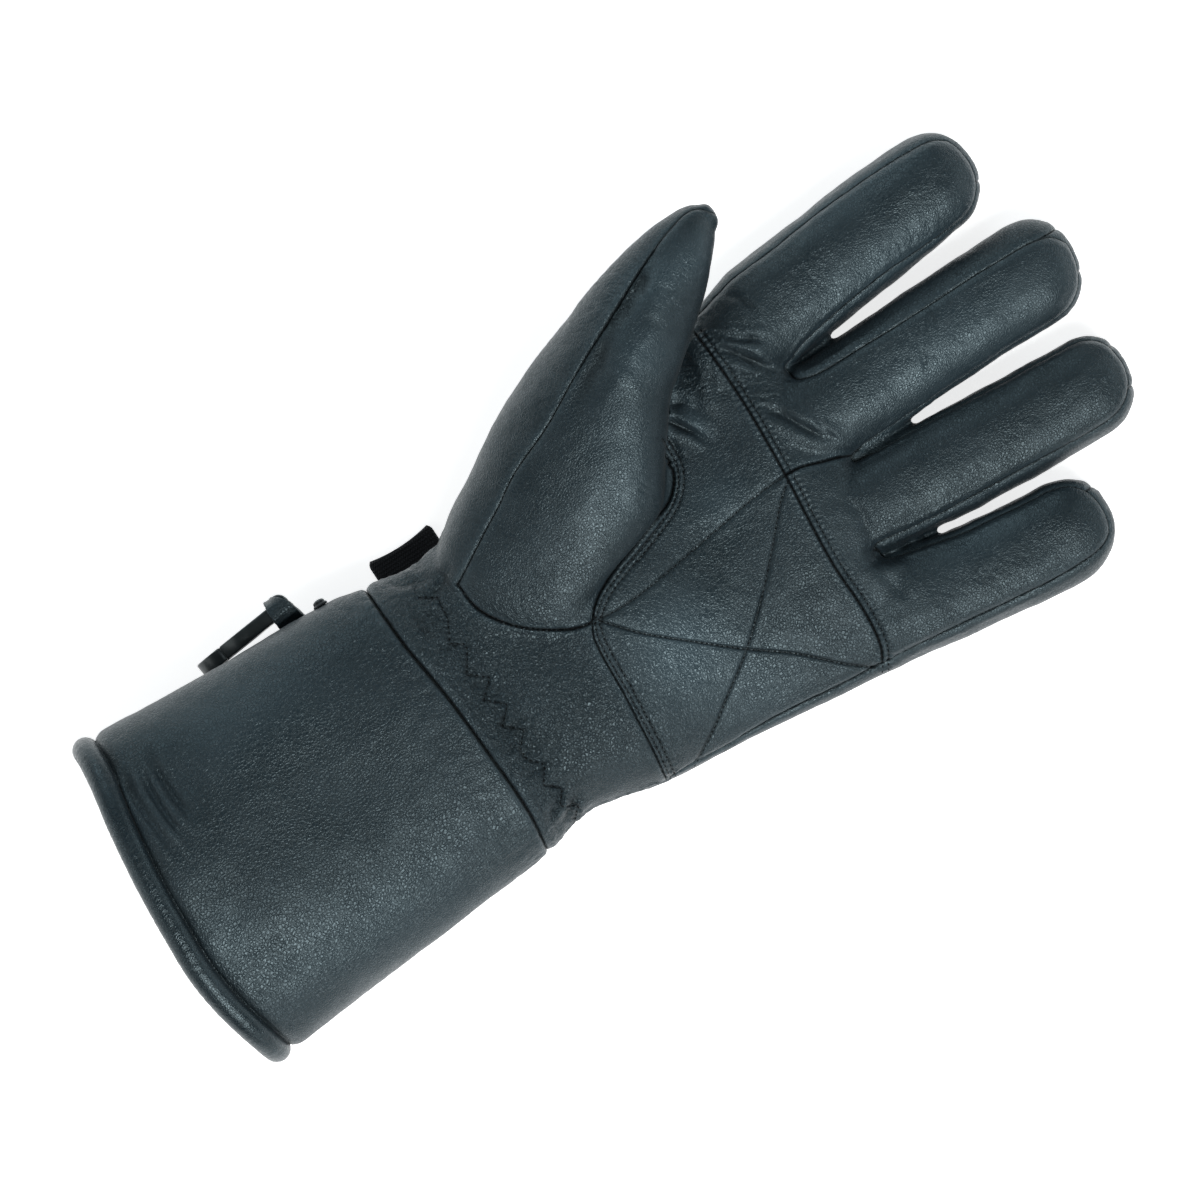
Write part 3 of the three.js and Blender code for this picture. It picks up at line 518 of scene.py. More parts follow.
def cut(points, triangles, panels, panel, level, new_panel):
    """Cuts one panel where level is zero. The side above zero becomes new_panel."""
    mine = panels == panel
    used = np.unique(triangles[mine])
    value = np.zeros(len(points))
    value[used] = level(points[used])
    edges = edges_of(triangles[mine])

    def crossings():
        pair = edges[value[edges[:, 0]] * value[edges[:, 1]] < 0]
        share = value[pair[:, 0]] / (value[pair[:, 0]] - value[pair[:, 1]])
        return pair, share

    pair, share = crossings()
    places = points[pair[:, 0]] + share[:, None] * (points[pair[:, 1]] - points[pair[:, 0]])
    near_end = np.where(share < 0.5, pair[:, 0], pair[:, 1])
    nearness = np.minimum(share, 1 - share)
    order = np.argsort(-nearness)
    order = order[nearness[order] < SNAP]
    points = points.copy()
    points[near_end[order]] = places[order]
    value[near_end[order]] = 0
    pair, share = crossings()
    places = points[pair[:, 0]] + share[:, None] * (points[pair[:, 1]] - points[pair[:, 0]])
    triangles, parents = divided(triangles, pair, len(points))
    points, value = np.vstack([points, places]), np.append(value, np.zeros(len(places)))
    panels, mine = panels[parents].copy(), mine[parents]
    panels[mine & (value[triangles].sum(1) > 0)] = new_panel
    return points, triangles, panels


def tidied(triangles, panels):
    """Gives loose specks of a panel to the panel round them."""
    sides = np.sort(triangles[:, [[0, 1], [1, 2], [2, 0]]], axis=2).reshape(-1, 2)
    keys = sides[:, 0] * (int(triangles.max()) + 1) + sides[:, 1]
    order = np.argsort(keys, kind="stable")
    same = keys[order][1:] == keys[order][:-1]
    left, right = order[:-1][same] // 3, order[1:][same] // 3
    alike = panels[left] == panels[right]
    patch = np.arange(len(triangles))
    while True:
        low = np.minimum(patch[left[alike]], patch[right[alike]])
        before = patch.copy()
        np.minimum.at(patch, left[alike], low)
        np.minimum.at(patch, right[alike], low)
        patch = patch[patch]
        if (patch == before).all():
            break
    sizes = np.bincount(patch, minlength=len(triangles))[patch]
    largest = {name: sizes[panels == name].max() for name in np.unique(panels)}
    speck = sizes < np.array([largest[name] for name in panels])
    panels = panels.copy()
    for _ in range(40):
        for here, there in ((left, right), (right, left)):
            take = speck[here] & ~speck[there]
            panels[here[take]] = panels[there[take]]
            speck[here[take]] = False
        if not speck.any():
            break
    return panels


# %% Cut out the panels
HAND, THUMB, PALM_SIDE = "hand_back", "thumb", "palm_side"
ball = np.vstack([smooth_line(THUMB_BASE), [(-FAR, 40.5), (-FAR, -32.7)]])
beside_ball = np.vstack([smooth_line(THUMB_BASE), [(FAR, 40.5), (FAR, -FAR), (-27, -FAR)]])
far_corners = [(-76, 93), (-60, FAR), (FAR, FAR), (FAR, -FAR), (-27, -FAR)]
thumb_right = np.vstack([smooth_line(THUMB_SEAM), far_corners])
palm_outline = np.vstack([
    smooth_line(line)
    for line in (LITTLE_SIDE, LITTLE_RING_FORK, RING_SIDE, MIDDLE_SIDE, INDEX_MIDDLE_FORK, INDEX_SIDE)
] + [[(-FAR, 30), (-FAR, -80), (60, -80)]])
split_side = np.vstack([smooth_line(SPLIT_SEAM), [(6, 94), (6, FAR), (FAR, FAR), (FAR, 0), (-1.5, 0)]])


def thumb_level(points):
    fingers = [digit for name, digit in DIGITS.items() if name != "thumb"]
    others = [limb_reach(points, PALM)] + [limb_reach(points, *finger) for finger in fingers]
    own = limb_reach(points, *DIGITS["thumb"]) - np.max(others, axis=0)
    over_ball = np.minimum(inside_reach(points, ball), height_over(points, SIDE_SEAM))
    return np.maximum(np.minimum(own, -inside_reach(points, beside_ball)), over_ball)


def thumb_front_level(points):
    return np.minimum(inside_reach(points, thumb_right), height_over(points, THUMB_SIDE_SEAM))


def palm_side_level(points):
    return np.minimum(inside_reach(points, palm_outline), height_over(points, SIDE_SEAM))


def gusset_level(finger, neighbour):
    """Between two fingers, from a little past the middle of one to the same place on the other."""

    def edge(name, side):
        rows, tip, lean = DIGITS[name]
        y = np.array([GUSSET_START, *[row[0] for row in rows if row[0] > GUSSET_START + WALL], tip + WALL])
        left, right, _, _ = section(rows, np.minimum(y, rows[-1][0]))
        return np.stack([(left + right) / 2 + side * GUSSET_INSET * (right - left) / 2, y], -1)

    outline = np.vstack([edge(finger, 1), edge(neighbour, -1)[::-1]])
    return lambda points: np.minimum(inside_reach(points, outline), points[:, 2] - GUSSET_BOTTOM)


CUTS = [
    (HAND, lambda p: -inside_reach(p, beyond(CUFF_SEAM)), "waste"),
    (HAND, thumb_level, THUMB),
    (THUMB, thumb_front_level, "thumb_front"),
    (HAND, palm_side_level, PALM_SIDE),
    (PALM_SIDE, lambda p: inside_reach(p, beyond(FINGER_SEAM)), "index_middle_front"),
    ("index_middle_front", lambda p: inside_reach(p, split_side), "ring_little_front"),
    (PALM_SIDE, lambda p: inside_reach(p, beyond(HEEL_SEAM)), "palm_patch"),
    (HAND, gusset_level("index", "middle"), "gusset_index_middle"),
    (HAND, gusset_level("middle", "ring"), "gusset_middle_ring"),
    (HAND, gusset_level("ring", "little"), "gusset_ring_little"),
]
panels = np.full(len(skin_triangles), HAND, dtype="U24")
for panel, level, new_panel in CUTS:
    skin, skin_triangles, panels = cut(skin, skin_triangles, panels, panel, level, new_panel)
skin_triangles, panels = skin_triangles[panels != "waste"], panels[panels != "waste"]
panels[(panels == THUMB) | (panels == PALM_SIDE)] = "wrist_thumb_panel"
panels = tidied(skin_triangles, panels)
for name in np.unique(panels):
    print(name, (panels == name).sum(), "triangles")

# %% [markdown]
# Finer faces where the camera looks
#
# Folds and turned seams need faces of about half a millimetre, and the underside of the glove does
# not. So only the triangles of the palm side that don't face down are cut again, each into four. The
# new points lie on flat faces, and a little smoothing rounds them. The points of a seam are only
# pulled along the seam, so that it stays where the pattern has it.


# %% Refine the palm side
def seam_edges(triangles, panels):
    """Edges between two panels or at an open end, with the names of both sides."""
    sides = np.sort(triangles[:, [[0, 1], [1, 2], [2, 0]]], axis=2).reshape(-1, 2)
    order = np.lexsort((sides[:, 1], sides[:, 0]))
    edge, owner = sides[order], panels[order // 3]
    paired = (edge[1:] == edge[:-1]).all(1)
    between = np.flatnonzero(paired & (owner[1:] != owner[:-1]))
    alone = np.flatnonzero(~np.append(paired, False) & ~np.append(False, paired))
    edges = np.vstack([edge[between], edge[alone]])
    names = [tuple(sorted(pair)) for pair in zip(owner[between], owner[between + 1])]
    return edges, names + [(name, "cuff") for name in owner[alone]]


def pulls_of(triangles, seams):
    """Who pulls on whom: every neighbour on a plain point, only the seam's own points on a seam."""
    edges = edges_of(triangles)
    both = both_ways(edges)
    on_seam = np.zeros(int(triangles.max()) + 1, bool)
    on_seam[seams.ravel()] = True
    return np.vstack([both[~on_seam[both[:, 0]]], seams, seams[:, ::-1]])


def without_strays(points, triangles):
    """Leaves out points that no triangle uses."""
    used, corners = np.unique(triangles, return_inverse=True)
    return points[used], corners.reshape(-1, 3)


PALM_PANELS = ["wrist_thumb_panel", "palm_patch", "index_middle_front", "ring_little_front", "thumb_front"]
FACING_DOWN = -0.15  # a face whose normal points lower than this isn't cut again
skin, skin_triangles = without_strays(skin, skin_triangles)
first, second, third = (skin[skin_triangles[:, k]] for k in range(3))
facing = np.cross(second - first, third - first)
in_view = facing[:, 2] > FACING_DOWN * np.linalg.norm(facing, axis=1)
fine_edges = edges_of(skin_triangles[np.isin(panels, PALM_PANELS) & in_view])
lengths = np.linalg.norm(skin[fine_edges[:, 0]] - skin[fine_edges[:, 1]], axis=1)
fine_edges = fine_edges[lengths > 0.5 * VOXEL]
skin_triangles, parents = divided(skin_triangles, fine_edges, len(skin))
skin = np.vstack([skin, skin[fine_edges].mean(1)])
panels = panels[parents]
seams, seam_names = seam_edges(skin_triangles, panels)
skin = relaxed(skin, pulls_of(skin_triangles, seams), 4)
print("refined skin:", len(skin), "points,", len(skin_triangles), "triangles,", len(seams), "seam edges")

# %% [markdown]
# Noise for leather
#
# Leather is never even, so most of what follows needs a soft random field. Blender has noise
# functions, but they take one point at a time. This one is the same idea on whole arrays: random
# directions on a grid, blended smoothly between the grid points. It is seeded, so the glove comes
# out the same each time.


# %% A soft random field
def soft_noise(points, seed):
    """Smooth noise between -1 and 1 whose waves are about two units long."""
    random = np.random.default_rng(seed)
    mixed = random.permutation(256)
    directions = random.normal(size=(256, 3))
    directions /= np.linalg.norm(directions, axis=1, keepdims=True)
    cell = np.floor(points).astype(np.int64)
    inside = points - cell
    ease = inside**3 * (inside * (inside * 6 - 15) + 10)
    total = np.zeros(len(points))
    for corner in np.ndindex(2, 2, 2):
        at = cell + corner
        pick = mixed[(mixed[(mixed[at[:, 0] % 256] + at[:, 1]) % 256] + at[:, 2]) % 256]
        lean = (directions[pick] * (inside - corner)).sum(1)
        share = np.where(np.array(corner) == 1, ease, 1 - ease).prod(1)
        total += lean * share
    return total * 1.6


def creases(points, wave, length, turn, seed):
    """Thin valleys, each about `length` long and one `wave` from the next: 0 on the flat, 1 in a valley."""
    cos, sin = math.cos(turn), math.sin(turn)
    along = cos * points[:, 0] + sin * points[:, 1]
    across = cos * points[:, 1] - sin * points[:, 0]
    bent = across + 0.35 * wave * soft_noise(points / (3 * wave), seed + 1)
    field = soft_noise(np.stack([along / length, bent / wave, points[:, 2] / length], -1) * 1.4, seed)
    return np.clip(1 - np.abs(field) / 0.32, 0, 1) ** 1.5


# %% [markdown]
# Seams, quilting and folds
#
# Leather is sewn with its right sides together and turned, so along each seam both panels roll down
# into a narrow valley. Beside the palm patch the seam is stitched down flat, and there the valley is
# shallow. Quilting stitches only press a line into the padding. The folds come from the hand that
# curls and from the elastic in the wrist. All of these are moves of the skin's points along its
# normals, so they are real shape and hold from every side.

# %% What the seams and folds look like
# Depth of the valley, and how far the panel named first rolls into it
TURNED_SEAM = (1.1, 1.9)
TIP_DEPTH = 0.45  # at the fingertips the valleys are this share as deep
FINGER_TIPS, THUMB_TIP = (95, 35), (66, 14)  # where in Y they begin to flatten, and over what length
THUMB_RIGHT = -55
STEEPNESS = 2.2  # folds fade out on faces whose normal leans further than one in this
SEAM_SHAPES = {
    **{(front, side): (0.9, 1.8)
       for front in ("index_middle_front", "ring_little_front")
       for side in ("hand_back", "gusset_index_middle", "gusset_middle_ring", "gusset_ring_little")},
    ("thumb_front", "palm_patch"): (1.5, 3.4), ("palm_patch", "thumb_front"): (1.5, 0.9),
    ("wrist_thumb_panel", "palm_patch"): (0.75, 1.5), ("palm_patch", "wrist_thumb_panel"): (0.75, 0.7),
    ("palm_patch", "hand_back"): (1.3, 2.2), ("hand_back", "palm_patch"): (1.1, 2.2),
}
SAME_ON_BOTH_SIDES = {
    ("palm_patch", "index_middle_front"): (0.3, 0.6),
    ("palm_patch", "ring_little_front"): (0.3, 0.6),
    ("index_middle_front", "ring_little_front"): (0.6, 1.2),
    ("thumb_front", "wrist_thumb_panel"): (0.7, 1.4),
}
for pair, shape in SAME_ON_BOTH_SIDES.items():
    SEAM_SHAPES[pair] = SEAM_SHAPES[pair[::-1]] = shape

QUILTING = [
    [(-1, 66), (-1, 60), (0, 50), (1.5, 40), (3.5, 25), (5, 12), (5.2, 3), (4.6, -3.6)],
    [(1, 66), (5, 61), (15, 51.5), (25, 41.5), (36, 29), (45, 16), (50, 9), (57, -3)],
    [(5, -3.6), (8, -1), (15, 5), (25, 16), (36, 28.5), (45, 40), (55, 50), (62, 58)],
]
QUILT_DEPTH, QUILT_WIDTH = 0.2, 0.6
PILLOW, PILLOW_REACH = 0.45, 5.0  # the padding swells between the lines

# Folds on each panel: their line, depth, width, and the height of the roll beside them
FOLDS = {
    "palm_patch": [
        ([(-40, 42.6), (-34.7, 45.7), (-30.8, 48.3), (-25.2, 51.4), (-20.5, 53.2)], 1.5, 1.2, 0.7),
        ([(-44, 46), (-38.8, 49.4), (-35.5, 53.4), (-30.3, 56.1), (-25.4, 59.4)], 1.0, 1.8, 0.4),
        ([(-33, 41.8), (-29.9, 43.2), (-27.3, 44), (-23.5, 43.6), (-20.4, 44.2)], 0.9, 0.9, 0.3),
        ([(-44, 56), (-38, 57.5), (-31, 57)], 0.4, 1.4, 0.2),
        ([(-49, 62), (-40, 63), (-30, 64.6)], 0.35, 1.2, 0.2),
    ],
    "index_middle_front": [
        ([(-49, 71.6), (-43.5, 76.5), (-40.5, 80.5), (-37.6, 84.5)], 1.0, 1.3, 0.5),
        ([(-45.5, 68.6), (-41, 73.1), (-38, 75.2), (-34.8, 77.1),
          (-31.6, 79.3), (-28.4, 81.6)], 1.5, 1.6, 0.8),
        ([(-33.8, 71.4), (-31.2, 74.8), (-29, 78.4)], 0.4, 0.8, 0.15),
        ([(-26, 71.2), (-24.4, 73.6), (-22.8, 76.5)], 0.35, 0.7, 0.15),
        ([(-23.6, 71.4), (-17.2, 75.5), (-12.6, 77.7), (-7.5, 80.5), (-0.6, 85.4)], 1.2, 1.5, 0.6),
        ([(-21, 85.2), (-13.4, 84.4), (-7.1, 83.9), (0.4, 85.8)], 0.5, 0.8, 0.15),
        ([(-58, 80), (-52, 84.6), (-45, 86.6)], 0.6, 1.3, 0.2),
        ([(-20.6, 129.6), (-16, 129.2), (-12.8, 128.5)], 0.4, 0.7, 0.15),
        ([(-12.6, 122.2), (-7, 120), (-3.2, 119)], 0.4, 0.8, 0.15),
    ],
    "ring_little_front": [
        ([(14, 78), (22, 79.6), (30, 77.4)], 0.5, 1.6, 0.2),
        ([(34, 74.6), (42, 75.6), (52, 78)], 0.4, 1.8, 0.2),
    ],
    "thumb_front": [
        ([(-79, 72), (-76.5, 66), (-68, 50), (-58, 34), (-48, 20)], 1.5, 5, 1.1),
        ([(-79, 71), (-75.5, 66.5), (-72, 60.5), (-68.5, 55)], 0.9, 2.6, 0.5),
    ],
    "wrist_thumb_panel": [
        ([(-33.6, -30), (-31, -35), (-28.4, -41.4), (-26, -48)], 0.7, 1.6, 0.4),
        ([(-39, -52), (-36.2, -47), (-34.4, -41)], 0.8, 1.3, 0.4),
        ([(-28.6, -48.3), (-23.2, -48.2), (-16, -49.4)], 0.6, 1.1, 0.3),
        ([(40.6, -40.7), (44.4, -44.6), (48.2, -49)], 0.8, 1.2, 0.4),
        ([(44, -36), (47.6, -40.6), (51, -46)], 0.9, 1.3, 0.5),
    ],
}

# Patches of fine wrinkles: panels, middle, reach in X and Y, direction in degrees, wave, length, depth
WRINKLES = [
    ("index_middle_front", (-37.5, 130), (6, 26), -18, 2.2, 7, 0.2),
    ("index_middle_front", (-52, 105), (11, 22), 24, 3.4, 12, 0.1),
    ("index_middle_front", (-42, 74), (10, 5), 44, 2.2, 8, 0.22),
    ("index_middle_front", (-26, 75), (12, 5), 57, 2.0, 6, 0.25),
    ("index_middle_front", (-12, 122), (9, 22), -8, 2.8, 10, 0.12),
    ("index_middle_front", (-56, 150), (9, 9), 50, 2.6, 8, 0.16),
    ("ring_little_front", (30, 108), (9, 26), -10, 3, 9, 0.14),
    ("ring_little_front", (56, 100), (10, 26), 8, 3, 9, 0.12),
    ("palm_patch", (-41, 61), (10, 8), 57, 2.0, 7, 0.22),
    ("palm_patch", (-18, 64), (12, 5), 57, 2.6, 9, 0.1),
    ("palm_patch", (50, 40), (9, 18), 70, 3, 10, 0.16),
    ("wrist_thumb_panel", (-22, -45), (16, 8), 80, 3.0, 9, 0.4),
    ("wrist_thumb_panel", (24, -44), (30, 6), 98, 3.0, 8, 0.4),
    (("wrist_thumb_panel", "thumb_front"), (-74, 50), (10, 26), 62, 3.4, 10, 0.16),
    ("thumb_front", (-66, 68), (8, 10), 30, 3, 8, 0.2),
    ("thumb_front", (-20, 30), (8, 8), 50, 2.6, 8, 0.2),
]
# Where the leather has painted highlights and a smoother finish, and where its grain is drawn together:
# middle, reach in X and Y, how much
SHEEN_SPOTS = [(-38, 128, 9, 34, 0.85), (-60, 132, 7, 30, 0.6), (-4, 128, 14, 38, 0.8), (26, 12, 16, 16, 1.4),
          (50, 28, 12, 14, 0.5), (-70, 70, 7, 22, 0.9), (-53, 50, 9, 11, 0.7), (-38, 33, 10, 10, 0.4),
          (-22, 24, 12, 12, 0.5), (-29, 53, 7, 4, 0.8), (-6, 46, 9, 11, 0.6), (46, 110, 7, 22, 0.7)]
CUFF_SHEEN_SPOTS = [(46, -108, 13, 45, 0.5), (25, -146, 10, 8, 0.4), (-30, -104, 14, 30, 0.5)]
TIGHT_GRAIN = [(-38, 60, 13, 9, 0.5), (-24, 74, 13, 6, 0.4), (5, -44, 60, 10, 1.5), (14, -24, 34, 14, 0.7),
               (-42, 78, 12, 8, 0.5), (30, -5, 30, 12, 0.4)]

# %% Where the glove is sewn
ZIGZAG = [(-30, -44.5), (-27, -40.2), (-20, -41), (-13.5, -44.5), (-11, -41), (-9.4, -41), (-3, -45),
          (1.5, -40), (6, -45), (11, -40), (15.6, -44.6), (20, -40), (24, -43.8), (28, -44), (32, -40.5),
          (37, -44), (41, -40), (45, -43.5), (48, -39), (52, -43)]


def beside(line, distance):
    """A line moved sideways, to the left of its direction."""
    run = np.gradient(line, axis=0)
    run /= np.linalg.norm(run, axis=1, keepdims=True)
    return line + distance * np.stack([-run[:, 1], run[:, 0]], -1)


patch_edge = smooth_line(THUMB_BASE[::-1][:10], 0.6)
heel = smooth_line(HEEL_SEAM[1:-1], 0.6)
finger_edge = smooth_line(FINGER_SEAM[1:-1], 0.6)
split_edge = smooth_line(SPLIT_SEAM, 0.6)
# Each sewing line: where it runs, stitch length, thread radius, how hard it pulls, how much it puckers
SEWING = [
    *((beside(patch_edge, away), 1.75, 0.25, 0.3, 0.14) for away in (1.2, 2.8)),
    *((beside(heel, away), 1.75, 0.25, 0.3, 0.14) for away in (1.2, 2.8)),
    *((beside(finger_edge, away), 1.8, 0.27, 0.35, 0.3) for away in (0.1, 2.0)),
    (beside(split_edge[8:-6], 0.1), 1.6, 0.2, 0.3, 0.05),
    (smooth_line(THUMB_BASE[:9], 0.6), 1.6, 0.3, 0.4, 0.1),
    *((smooth_line(line, 0.6), 1.6, 0.22, 0.3, 0.03) for line in QUILTING),
    (smooth_line(CUFF_SEAM[2:-2], 0.6) + (0, 0.1), 2.2, 0.24, 0.3, 0.1),
]
corners = np.array(ZIGZAG, float)
legs = [np.linspace(a, b, 12, endpoint=False) for a, b in zip(corners[:-1], corners[1:])]
zigzag = np.vstack(legs + [corners[-1:]])
SEWING.append((zigzag, 1.8, 0.27, 0.4, 0.3))
STITCH_WIDTH = 0.45


# %% Press the seams and folds into the skin
def point_normals(points, triangles):
    a, b, c = (points[triangles[:, k]] for k in range(3))
    face = np.cross(b - a, c - a)
    total = np.zeros_like(points)
    for k in range(3):
        for axis in range(3):
            total[:, axis] += np.bincount(triangles[:, k], weights=face[:, axis], minlength=len(points))
    return total / np.maximum(np.linalg.norm(total, axis=1, keepdims=True), 1e-12)


def roll(away, width):
    """The rounded edge of a turned seam: 1 in the seam, 0 where the roll ends."""
    return 1 - np.sqrt(np.clip(1 - np.clip(1 - away / width, 0, 1) ** 2, 0, 1))


def dip(away, width):
    return np.exp(-((away / width) ** 2))


def lip(away, depth, width):
    """The ridge that the seam allowance lifts beside a turned seam, a little bunched."""
    ridge = 0.3 * depth * dip(away - 1.4 * width, 0.6 * width) * (1 + 0.8 * soft_noise(skin / 1.5, 8))
    return np.where((width > 1.7) & (width < 2), ridge, 0)


def on_panels(names):
    """Which points of the skin belong to one of the panels."""
    mine = np.zeros(len(skin), bool)
    mine[np.unique(skin_triangles[np.isin(panels, names)])] = True
    return mine


seam_points = np.vstack([skin[seams[:, 0]] * (1 - t) + skin[seams[:, 1]] * t for t in (0, 0.25, 0.5, 0.75)])
tree = KDTree(len(seam_points))
for k, place in enumerate(seam_points.tolist()):
    tree.insert(place, k)
tree.balance()
nearest = [tree.find(place)[1:] for place in skin.tolist()]
seam_away = np.array([found[1] for found in nearest])
seam_kind = np.array([found[0] for found in nearest]) % len(seams)

depth, width = np.zeros(len(skin)), np.ones(len(skin))
for panel in np.unique(panels):
    mine = on_panels([panel])
    for pair in dict.fromkeys(seam_names):
        if panel not in pair:
            continue
        other = pair[1] if pair[0] == panel else pair[0]
        shape = SEAM_SHAPES.get((panel, other), TURNED_SEAM)
        of_kind = np.array([name == pair for name in seam_names])
        chosen = mine & of_kind[seam_kind]
        depth[chosen], width[chosen] = shape
(tips, reach), (thumb_nose, thumb_reach) = FINGER_TIPS, THUMB_TIP
finger_tips = (skin[:, 1] - tips) / reach
thumb_tip = np.where(skin[:, 0] < THUMB_RIGHT, (skin[:, 1] - thumb_nose) / thumb_reach, 0)
depth *= 1 - (1 - TIP_DEPTH) * np.clip(np.maximum(finger_tips, thumb_tip), 0, 1)
push = lip(seam_away, depth, width) - depth * roll(seam_away, width)
print("seam kinds:", len(dict.fromkeys(seam_names)))

normals = point_normals(skin, skin_triangles)
facing = np.clip(normals[:, 2] * STEEPNESS, 0, 1)
on_patch, from_line = on_panels(["palm_patch"]), seam_away.copy()
for line in QUILTING:
    away, _, _ = line_reach(skin, smooth_line(line))
    push -= on_patch * facing * QUILT_DEPTH * dip(away, QUILT_WIDTH)
    from_line = np.minimum(from_line, away)
push += on_patch * facing * PILLOW * (1 - np.exp(-from_line / PILLOW_REACH))

stitched = np.zeros(len(skin))
for line, step, _, pull, pucker in SEWING:
    away, _, along = line_reach(skin, line[::3])
    length = np.linalg.norm(np.diff(line, axis=0), axis=1).sum()
    beat = np.cos(2 * np.pi * along * length / step)
    push += facing * (pucker * (0.5 - beat) * dip(away - 0.9, 0.55) - pull * dip(away, STITCH_WIDTH))
    closeness = np.clip(1 - away / 2, 0, 1) * (1 - 0.16 * (pucker > 0.2) * (0.5 - 0.5 * beat))
    stitched = np.maximum(stitched, np.where(facing > 0.3, closeness, 0))

for name, folds in FOLDS.items():
    here = on_panels([name]) * facing
    for line, fold_depth, fold_width, rise in folds:
        away, side, along = line_reach(skin, smooth_line(line))
        away = np.abs(side * away + 0.3 * soft_noise(skin / 7, 60))
        taper = np.clip(np.minimum(along, 1 - along) * 3.2, 0, 1) * (0.85 + 0.5 * soft_noise(skin / 6, 61))
        valley = -fold_depth * dip(away, fold_width * 0.85)
        roll_beside = rise * dip(away - 2 * fold_width, 1.2 * fold_width)
        push += here * taper * (valley + roll_beside)

for seed, (names, (x, y), (reach_x, reach_y), turn, wave, length, wrinkle_depth) in enumerate(WRINKLES):
    here = np.exp(-(((skin[:, 0] - x) / reach_x) ** 2) - ((skin[:, 1] - y) / reach_y) ** 2)
    mine = np.flatnonzero(on_panels(names) & (here > 0.03))
    valleys = creases(skin[mine], wave, length, math.radians(turn), 10 + seed)
    push[mine] -= wrinkle_depth * here[mine] * valleys


def spots(table, points, upward):
    """The sum of a table's soft spots at each point, on the faces that look up."""
    total = np.zeros(len(points))
    for x, y, reach_x, reach_y, amount in table:
        away = ((points[:, 0] - x) / reach_x) ** 2 + ((points[:, 1] - y) / reach_y) ** 2
        total += upward * amount * np.exp(-away)
    return total


# The second kind of spot is a painted highlight, where the leather is also smoother
tight, wear_and_sheen = (spots(table, skin, facing) for table in (TIGHT_GRAIN, SHEEN_SPOTS))

GATHER_LINE, GATHER_REACH, GATHER_DEPTH = -43.5, 6.5, 0.75  # where the elastic draws the wrist in
OVER_THE_TABLE = 0.02  # nothing lies lower than this
WRIST_X, WRIST_Z, WRIST_RADIUS = 7, 22, 45  # the middle of the wrist, and its half-width
around = np.arctan2(skin[:, 2] - WRIST_Z, skin[:, 0] - WRIST_X) * WRIST_RADIUS
gather = np.exp(-(((skin[:, 1] - GATHER_LINE) / GATHER_REACH) ** 2))
puckers = soft_noise(np.stack([around / 4.2, skin[:, 1] / 8, around * 0], -1), 5)
push += gather * GATHER_DEPTH * (puckers - 0.2)
push += 0.3 * soft_noise(skin / 11, 3) + 0.1 * soft_noise(skin / 4, 4)
plain_skin = skin
skin = skin + normals * push[:, None]
skin[:, 2] = np.maximum(skin[:, 2], OVER_THE_TABLE)
print("deepest move:", round(float(push.min()), 2), "mm, highest:", round(float(push.max()), 2), "mm")

# %% [markdown]
# From skin to panels
#
# Each panel is its own object: the outer face with its folds, a smooth inner face one wall deeper,
# and a rim that joins the two. Its edge is pulled back by a hair from its neighbour's, which gives
# the fine dark line of a real seam. A few numbers go with every point, for the leather's colour and
# finish: how near it is to a seam or a stitch, which places wear and painted shade along them, how
# deep it lies in a fold, which places painted shade there, where it gets painted highlights and a
# smoother finish, and where its grain is drawn together.


# %% Make the panels
def placed(points):
    """From the pattern's millimetres to the model's metres."""
    return (np.asarray(points) + SHIFT) * MM


def piece(name, mesh, nodes, smooth=True):
    """A finished piece that stands for CAD nodes."""
    thing = bpy.data.objects.new(name, mesh)
    bpy.context.scene.collection.objects.link(thing)
    mesh.polygons.foreach_set("use_smooth", [smooth] * len(mesh.polygons))
    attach(thing, "root")
    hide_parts(*nodes)
    return thing


FAR_FROM_SEAM = 9.0


def add_numbers(mesh, numbers):
    """Numbers at each point, for a material to read. The points after the last one lie far from any seam."""
    for name, values in numbers.items():
        spare = np.full(len(mesh.vertices) - len(values), FAR_FROM_SEAM if name == "seam_away" else 0.0)
        values = np.concatenate([values, spare]).astype(np.float32)
        mesh.attributes.new(name, "FLOAT", "POINT").data.foreach_set("value", values)


def open_edges(triangles):
    """The edges that only one triangle has, in that triangle's direction."""
    sides = triangles[:, [[0, 1], [1, 2], [2, 0]]].reshape(-1, 2)
    scale = int(triangles.max()) + 1
    keys = sides[:, 0] * scale + sides[:, 1]
    return sides[~np.isin(keys, sides[:, 1] * scale + sides[:, 0])]


SEAM_GAP = 0.12  # share of the way to its neighbours that an edge point is pulled back


def panel_mesh(name):
    used, corners = np.unique(skin_triangles[panels == name], return_inverse=True)
    corners = corners.reshape(-1, 3)
    count = len(used)
    outer, inner = skin[used].copy(), plain_skin[used] - normals[used] * WALL
    rim = open_edges(corners)
    on_rim = np.zeros(count, bool)
    on_rim[rim.ravel()] = True
    pulls = both_ways(edges_of(corners))
    pulls = pulls[on_rim[pulls[:, 0]] & ~on_rim[pulls[:, 1]]]
    for axis in range(3):
        pull = outer[pulls[:, 1], axis] - outer[pulls[:, 0], axis]
        total = np.bincount(pulls[:, 0], weights=pull, minlength=count)
        outer[:, axis] += SEAM_GAP * total / np.maximum(np.bincount(pulls[:, 0], minlength=count), 1)
    inner[:, 2] = np.maximum(inner[:, 2], WALL / 2)
    a, b = rim.T
    band = np.vstack([np.stack([b, a, a + count], -1), np.stack([b, a + count, b + count], -1)])
    faces = np.vstack([corners, corners[:, ::-1] + count, band])
    mesh = mesh_of(name, placed(np.vstack([outer, inner])), faces)
    numbers = {"seam_away": seam_away, "sunk": -push, "stitched": stitched, "tight": tight, "wear_and_sheen": wear_and_sheen}
    add_numbers(mesh, {kind: values[used] for kind, values in numbers.items()})
    return mesh


